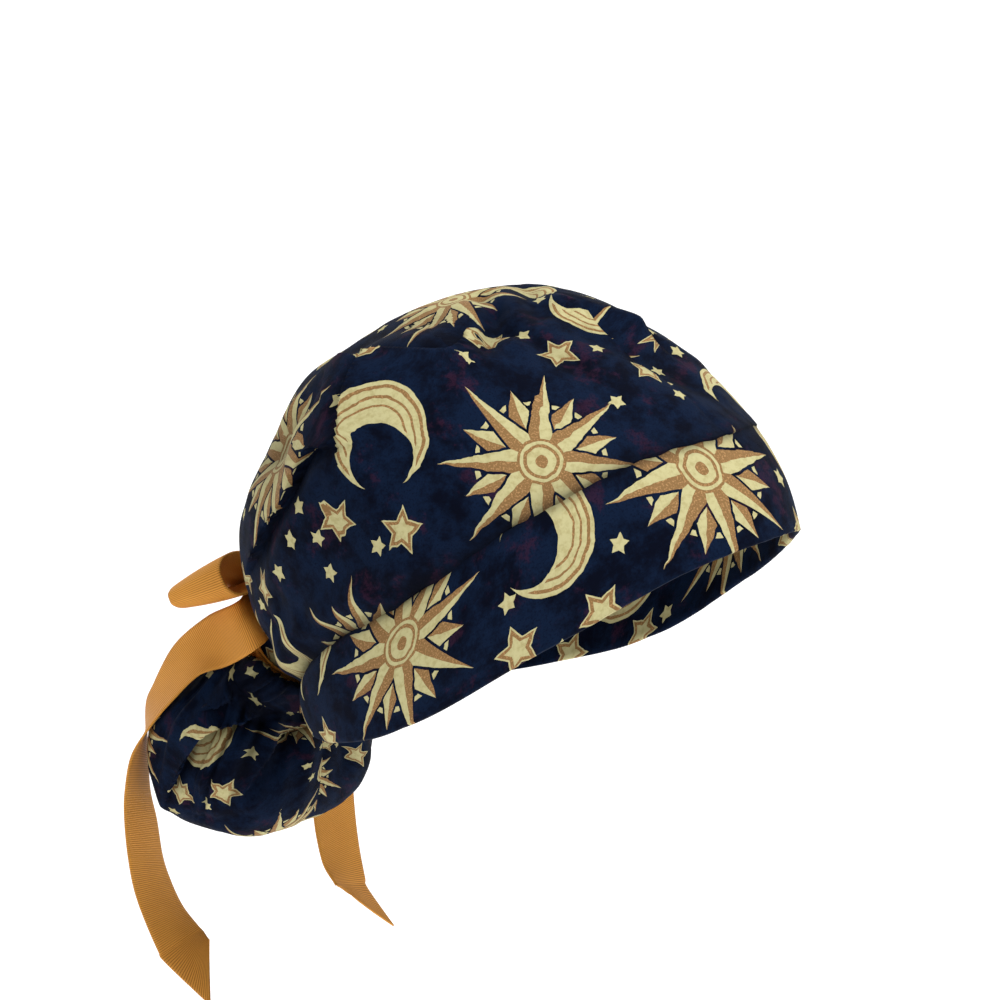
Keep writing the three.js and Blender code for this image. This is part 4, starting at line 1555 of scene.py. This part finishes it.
def pouch_shape(share, turn):
    plain = pouch_surface(share, turn)
    outward = away_from(pouch_middle, plain)
    points, valley = creased(plain, outward, POUCH_CREASES, pouch_surface)
    points, pattern, shade, edges = lapped(points, outward, POUCH_LAPS, pouch_surface)
    fade = smooth(share, 0, 0.1) * (1 - smooth(share, 0.2, 0.75))
    rough = 0.9 * rumple(plain, 20, 41.0) + 0.35 * rumple(plain, 8, 57.0) + centre_seam(plain)
    lift = gathers(turn) * fade + rough * smooth(share, 0, 0.12)
    # Painted shade in the valleys between gathers, and half the creases' painted shade.
    painted_gather_shade = 0.8 * fade * smooth(-gathers(turn), 0.2, 2.2)
    shade = np.clip(np.maximum(shade, painted_gather_shade) + 0.5 * valley, 0, 1)
    return points + lift[..., None] * outward, pattern, shade, edges


def pouch_points():
    turn = np.linspace(0, TURN, POUCH_COLUMNS, endpoint=False)[None, :]
    share = np.linspace(0, 1, POUCH_ROWS)[:, None]
    points, pattern, shade, edges = pouch_shape(share, turn)
    fall = np.exp(-np.square(share / 0.16)) * shoulder_share(turn)
    sideways = np.stack([np.cos(turn), np.zeros_like(turn), np.sin(turn)], -1)
    points = points + (SHOULDER_REACH * fall)[..., None] * sideways
    # Painted shade near the neck, where the cloth lies in the crown's shade.
    neck_shade = 0.55 * shoulder_share(turn) * np.exp(-np.square(share / 0.13))
    neck = neck_rows(turn)
    above = np.repeat(neck_shade[:1], len(neck), axis=0)
    return (
        np.concatenate([neck, points]),
        np.concatenate([neck, pattern]),
        np.concatenate([above, np.clip(shade + neck_shade, 0, 1)]),
        np.concatenate([above > 1, edges]),
    )


pouch_grid, pouch_pattern, pouch_shade, pouch_edges = pouch_points()
print("pouch grid:", pouch_grid.shape)

# %% Sew the pouch
POUCH_CLOTH = 0.9
POUCH_MAP_WAY = (0.9, 0.3, -0.2)
POUCH_MAP_PLACES = [(96, 30), (330, 210)]

pouch_map = cloth_maps(pouch_pattern, pouch_middle, POUCH_MAP_WAY, POUCH_MAP_PLACES)
pouch_mesh = grid_mesh("pouch_cloth", pouch_grid, pouch_map, True, pouch_shade, pouch_edges)
pouch_cloth = add_piece("pouch_cloth", pouch_mesh, crown_cotton, "printed_cotton", "ponytail_pouch")
thicken(pouch_cloth, POUCH_CLOTH)
apply_modifiers(pouch_cloth)
print("pouch cloth:", round(area_of(pouch_cloth) * 1e4), "square cm, both faces")

# %% [markdown]
# The edge of the hole is a narrow turned hem. It could be placed from the crown's plain surface, but the
# folds have moved that. A ray cast at the crown for each step round the neck finds where the cloth is,
# so the hem lies on it.

# %% Where the hem lies
HEM_STEPS = 160


def hem_edge(turn):
    """A place on the crown at the hole's edge, the way out of the cloth, and the way off the hole."""
    start = neck_ring(turn, 40.0, HOLE_EASE + 0.7)
    hit, normal, index, distance = crown_tree.ray_cast(Vector(start * MM), Vector(-back_cap))
    normal = np.array(normal)
    if normal @ back_cap < 0:
        normal = -normal
    spread = neck_ring(turn, 0.0, 1.0) - neck_ring(turn, 0.0, 0.0)
    spread = spread - (spread @ normal) * normal
    return np.array(hit) / MM, normal, spread / np.linalg.norm(spread)


hem_edges = [hem_edge(turn) for turn in np.linspace(0, TURN, HEM_STEPS, endpoint=False)]
print("hem starts at", np.round(hem_edges[0][0], 1))

# %% Sew the hem
HEM_WIDTH = 4.5
HEM_THICK = 1.5
hem_rows = []
for corner in np.linspace(0, TURN, 14, endpoint=False):
    wide = HEM_WIDTH / 2 * (1 + math.cos(corner)) - 0.2
    high = HEM_THICK / 2 * math.sin(corner) + 0.15
    hem_rows.append([edge + wide * spread + high * normal for edge, normal, spread in hem_edges])
hem_grid = np.array(hem_rows + hem_rows[:1])
hem_map = cloth_maps(hem_grid, crown_middle, CROWN_MAP_WAY, CROWN_MAP_PLACES)
hem_mesh = grid_mesh("neck_hem", hem_grid, hem_map, True)
neck_hem = add_piece("neck_hem", hem_mesh, crown_cotton, "printed_cotton")
print("hem has", len(hem_mesh.polygons), "faces")

# %% [markdown]
# One ribbon makes the whole tie. Every stretch of it is the same strip: a row of middles, and a row of
# half-width vectors that say which way it faces. A curve with a bevel would twist where it likes, and
# the vectors keep each turn where the photograph has it. Where the knot pinches the ribbon narrow, it
# rises in pleats.

# %% Ribbon sizes
RIBBON_WIDTH = 22
RIBBON_THICK = 0.7
RIBBON_STEPS = 160
RIBBON_ACROSS = 18
PLEAT_REACH = 2.4
print("ribbon is", RIBBON_WIDTH, "mm wide and", RIBBON_THICK, "mm thick")

# %% The ribbon's points
def ribbon_points(middles, halves, wave):
    """Points across and along the ribbon, and the length up to each row."""
    share = np.linspace(0, 1, RIBBON_STEPS)
    middle = curve_through(middles, share)
    half = curve_through(halves, share)
    steps = np.linalg.norm(np.diff(middle, axis=0), axis=1)
    length = np.concatenate([[0], np.cumsum(steps)])
    lift = np.cross(np.gradient(middle, axis=0), half)
    lift /= np.linalg.norm(lift, axis=1, keepdims=True)
    place = np.linspace(-1, 1, RIBBON_ACROSS + 1)
    pinch = np.clip(1 - np.linalg.norm(half, axis=1) / (RIBBON_WIDTH / 2), 0, 1)
    pleat = PLEAT_REACH * pinch[:, None] * np.cos(3 * math.pi * place)[None, :]
    sway = wave * np.sin(length / 17)[:, None] * place[None, :]
    cup = 0.5 * (place ** 2 - 0.4)[None, :]
    flat_ribbon = middle[:, None] + place[None, :, None] * half[:, None]
    return flat_ribbon + (pleat + sway + cup)[..., None] * lift[:, None], length


print("ribbon grid:", RIBBON_STEPS, "by", RIBBON_ACROSS + 1, "points")

# %% Make a ribbon mesh
def ribbon_mesh(name, points, length):
    columns = RIBBON_ACROSS + 1
    faces = []
    for r in range(RIBBON_STEPS - 1):
        for c in range(RIBBON_ACROSS):
            a = r * columns + c
            faces.append((a, a + 1, a + columns + 1, a + columns))
    mesh = bpy.data.meshes.new(name)
    mesh.from_pydata((points.reshape(-1, 3) * MM).tolist(), [], faces)
    place = np.linspace(-1, 1, columns) * RIBBON_WIDTH / 2
    flat = np.stack(np.broadcast_arrays(length[:, None], place[None, :]), -1).reshape(-1, 2) * MM
    mesh.uv_layers.new(name="cloth").data.foreach_set("uv", flat[corner_points(mesh)].ravel())
    mesh.shade_smooth()
    return mesh


def add_ribbon(name, node, middles, halves, wave):
    points, length = ribbon_points(middles, halves, wave)
    piece = add_piece(name, ribbon_mesh(name, points, length), ochre_ribbon, "ribbon", node)
    thicken(piece, RIBBON_THICK, 0)
    apply_modifiers(piece)
    print(name, "is", round(length[-1]), "mm long")
    return piece, length[-1]


print("a ribbon's map is its length by", RIBBON_WIDTH, "mm")

# %% [markdown]
# The bow's two loops come out of the knot sideways and fold back on themselves. They are turned out a
# little, so that the near one shows its open end to the camera as in the photograph. Each row gives a
# place on the loop as shares of its reach, rise and width, so one list serves both sides.

# %% Loop sizes
LOOP_REACH = 44
LOOP_RISE = 6.4
LOOP_BULGE = 13
LOOP_TAPER = 1.6
LOOP_TURNED_OUT = 0.3
LOOP_ROWS = [
    # along, up, wide, back, full
    (0.08, 0.15, 0.05, 0.0, 0.5),
    (0.3, 0.8, 0.1, -0.04, 0.9),
    (0.6, 1.0, 0.44, -0.1, 1.0),
    (0.86, 1.0, 0.46, -0.17, 1.0),
    (0.98, 1.0, 0.25, -0.18, 1.0),
    (1.0, 1.0, 0.0, -0.18, 1.0),
    (0.98, 1.0, -0.25, -0.18, 1.0),
    (0.86, 1.0, -0.46, -0.17, 1.0),
    (0.6, 1.0, -0.44, -0.1, 1.0),
    (0.3, 0.8, -0.1, -0.04, 0.9),
    (0.08, 0.15, -0.05, 0.0, 0.5),
]
loop_back = np.array([0, 0.9, -0.436])
loop_up = np.array([0, 0.436, 0.9])
print("loops reach", LOOP_REACH, "mm from the knot")

# %% Tie the loops
KNOT_OUT = 13
KNOT_UP = 22.5
knot_middle = in_neck(0, KNOT_OUT, KNOT_UP)


def add_loop(name, node, side):
    middles, halves = [], []
    for along, up, wide, back, full in LOOP_ROWS:
        middles.append(
            knot_middle + side * along * LOOP_REACH * across
            + (up * LOOP_RISE + wide * LOOP_BULGE) * loop_up + back * RIBBON_WIDTH * loop_back
        )
        width_way = loop_back + side * LOOP_TURNED_OUT * across
        width_way /= np.linalg.norm(width_way)
        inward = -wide / 0.46 * loop_up
        halves.append(width_way * full * RIBBON_WIDTH / 2 + inward * LOOP_TAPER)
    return add_ribbon(name, node, middles, halves, 0.0)


loop_right, loop_length = add_loop("ribbon_loop_right", "bow_loop_right", -1)
loop_left, loop_length = add_loop("ribbon_loop_left", "bow_loop_left", 1)
print("knot's middle:", np.round(knot_middle, 1))

# %% [markdown]
# The tails arch over the pouch's shoulder, turn edge-on, and hang behind it with a slow twist. Simulated
# ribbon would fall straight, and these hold a set from being wound up. The rows are the same as the
# solids': where the ribbon's middle is, and which way its width points.

# %% Tail rows
TAIL_DROP = 137
TAIL_ROWS = [
    # side, back, down, across, ahead, below, full
    (0.1, 0.0, 0.01, 0.0, 0.84, -0.4, 0.55),
    (0.42, -0.2, 0.03, 0.36, 0.75, 0.55, 1.0),
    (0.93, -0.43, 0.042, 0.37, 0.71, 0.59, 1.0),
    (0.93, -0.06, 0.098, 0.32, 0.68, 0.66, 1.0),
    (0.98, 0.3, 0.16, 0.45, 0.84, 0.29, 1.0),
    (1.01, 0.6, 0.26, 0.58, 0.81, 0.05, 1.0),
    (1.0, 0.79, 0.33, 0.71, 0.7, 0.03, 1.0),
    (1.0, 0.92, 0.44, 0.87, 0.43, -0.24, 1.0),
    (0.99, 0.97, 0.54, 0.91, 0.3, -0.28, 1.0),
    (0.99, 0.94, 0.62, 0.93, 0.15, -0.33, 1.0),
    (0.99, 0.89, 0.72, 0.95, 0.1, -0.28, 1.0),
    (0.99, 0.8, 0.8, 0.99, 0.06, -0.13, 1.0),
    (0.99, 0.66, 0.87, 1.0, 0.02, -0.02, 1.0),
    (1.0, 0.47, 0.93, 0.98, -0.05, 0.19, 1.0),
    (1.0, 0.39, 0.95, 0.95, -0.03, 0.3, 1.0),
    (1.03, 0.04, 1.0, 0.59, 0.5, 0.63, 1.29),
]
print("tails drop", TAIL_DROP, "mm below the knot")

# %% Hang the tails
def add_tail(name, node, side, spread, set_back):
    middles, halves = [], []
    for out, back, down, crossing, ahead, below, full in TAIL_ROWS:
        middles.append(knot_middle + np.array([side * out * spread, back * set_back, -down * TAIL_DROP]))
        half = np.array([side * crossing, -ahead, -below])
        halves.append(half / np.linalg.norm(half) * full * RIBBON_WIDTH / 2)
    return add_ribbon(name, node, middles, halves, 0.35)


tail_right, tail_right_length = add_tail("ribbon_tail_right", "bow_tail_right", -1, 36, 36)
tail_left, tail_left_length = add_tail("ribbon_tail_left", "bow_tail_left", 1, 54, 16)
print("tails together:", round(tail_right_length + tail_left_length), "mm")

# %% [markdown]
# The knot is the ribbon wound once over itself. Winding it in full would hide most of the work inside.
# Its form is a small cushion whose surface carries the lengthwise pleats of a pinched ribbon, with the
# same ribs across it.

# %% Tie the knot
KNOT_HALF_WIDTH = 8
KNOT_HALF_DEPTH = 6.5
KNOT_HALF_HEIGHT = 5.5


def knot_grid():
    turn = np.linspace(0, TURN, 96, endpoint=False)[None, :]
    tilt = np.linspace(0.0, math.pi, 60)[:, None]
    x = -np.cos(tilt) * KNOT_HALF_WIDTH * np.ones_like(turn)
    roundness = np.power(np.maximum(np.sin(tilt), 1e-4), 0.62)
    pleats = 0.05 * np.cos(9.1 * tilt + 0.6 * np.sin(turn)) + 0.03 * np.sin(2 * turn + 9 * tilt)
    out = KNOT_HALF_DEPTH * roundness * (1 + pleats) * np.cos(turn)
    up = KNOT_HALF_HEIGHT * roundness * (1 + pleats) * np.sin(turn)
    points = knot_middle + x[..., None] * across + out[..., None] * back_cap + up[..., None] * up_cap
    run = turn * (KNOT_HALF_DEPTH + KNOT_HALF_HEIGHT) / 2 * np.ones_like(tilt)
    flat = np.stack([run, x], -1) * MM
    return points, [flat, flat]


knot_points, knot_map = knot_grid()
knot_mesh = grid_mesh("ribbon_knot", knot_points, knot_map, True)
ribbon_knot = add_piece("ribbon_knot", knot_mesh, ochre_ribbon, "ribbon", "bow_knot")
print("knot has", len(knot_mesh.polygons), "faces")

# %% [markdown]
# The collar is the ribbon drawn tight round the pouch's neck. A smooth tube would look like a hoop, so
# soft waves crush it lengthwise, and they fade at both of its edges.

# %% Draw the collar tight
COLLAR_WIDTH = 8
COLLAR_ROWS = 26
COLLAR_THICK = 0.8


def collar_row(turn, share):
    folds = 0.35 * np.cos(3 * TURN * share + 0.8 * np.sin(2 * turn))
    crush = folds + 0.15 * np.sin(9 * turn + 5 * share)
    grow = 1.55 + crush * math.sin(math.pi * min(max(share, 0.04), 0.96)) ** 0.4
    return neck_ring(turn, NECK_OUTSIDE - 1 - COLLAR_WIDTH * (1 - share), grow)


def collar_grid():
    turn = np.linspace(0, TURN, 200, endpoint=False)[None, :]
    points = np.concatenate([collar_row(turn, share) for share in np.linspace(0, 1, COLLAR_ROWS)])
    run = turn * (NECK_HALF_WIDTH + NECK_HALF_HEIGHT) / 2
    over = np.linspace(0, COLLAR_WIDTH, COLLAR_ROWS)[:, None]
    flat = np.stack(np.broadcast_arrays(run, over), -1) * MM
    return points, [flat, flat]


collar_points, collar_map = collar_grid()
collar_mesh = grid_mesh("ribbon_collar", collar_points, collar_map, False)
ribbon_collar = add_piece("ribbon_collar", collar_mesh, ochre_ribbon, "ribbon", "tie_collar")
thicken(ribbon_collar, COLLAR_THICK)
apply_modifiers(ribbon_collar)
print("collar has", len(ribbon_collar.data.polygons), "faces")

# %% [markdown]
# A sheet of cloth has the size that it was cut to. For gathered cloth that is a little more than what
# shows. The measured area is eased. The ribbon's stretches are as long as their rows of middles.

print("ribbon used for the bow:", round(tail_right_length + tail_left_length + 2 * loop_length), "mm")

# %% [markdown]
# The finished cap has to stay near the solids.
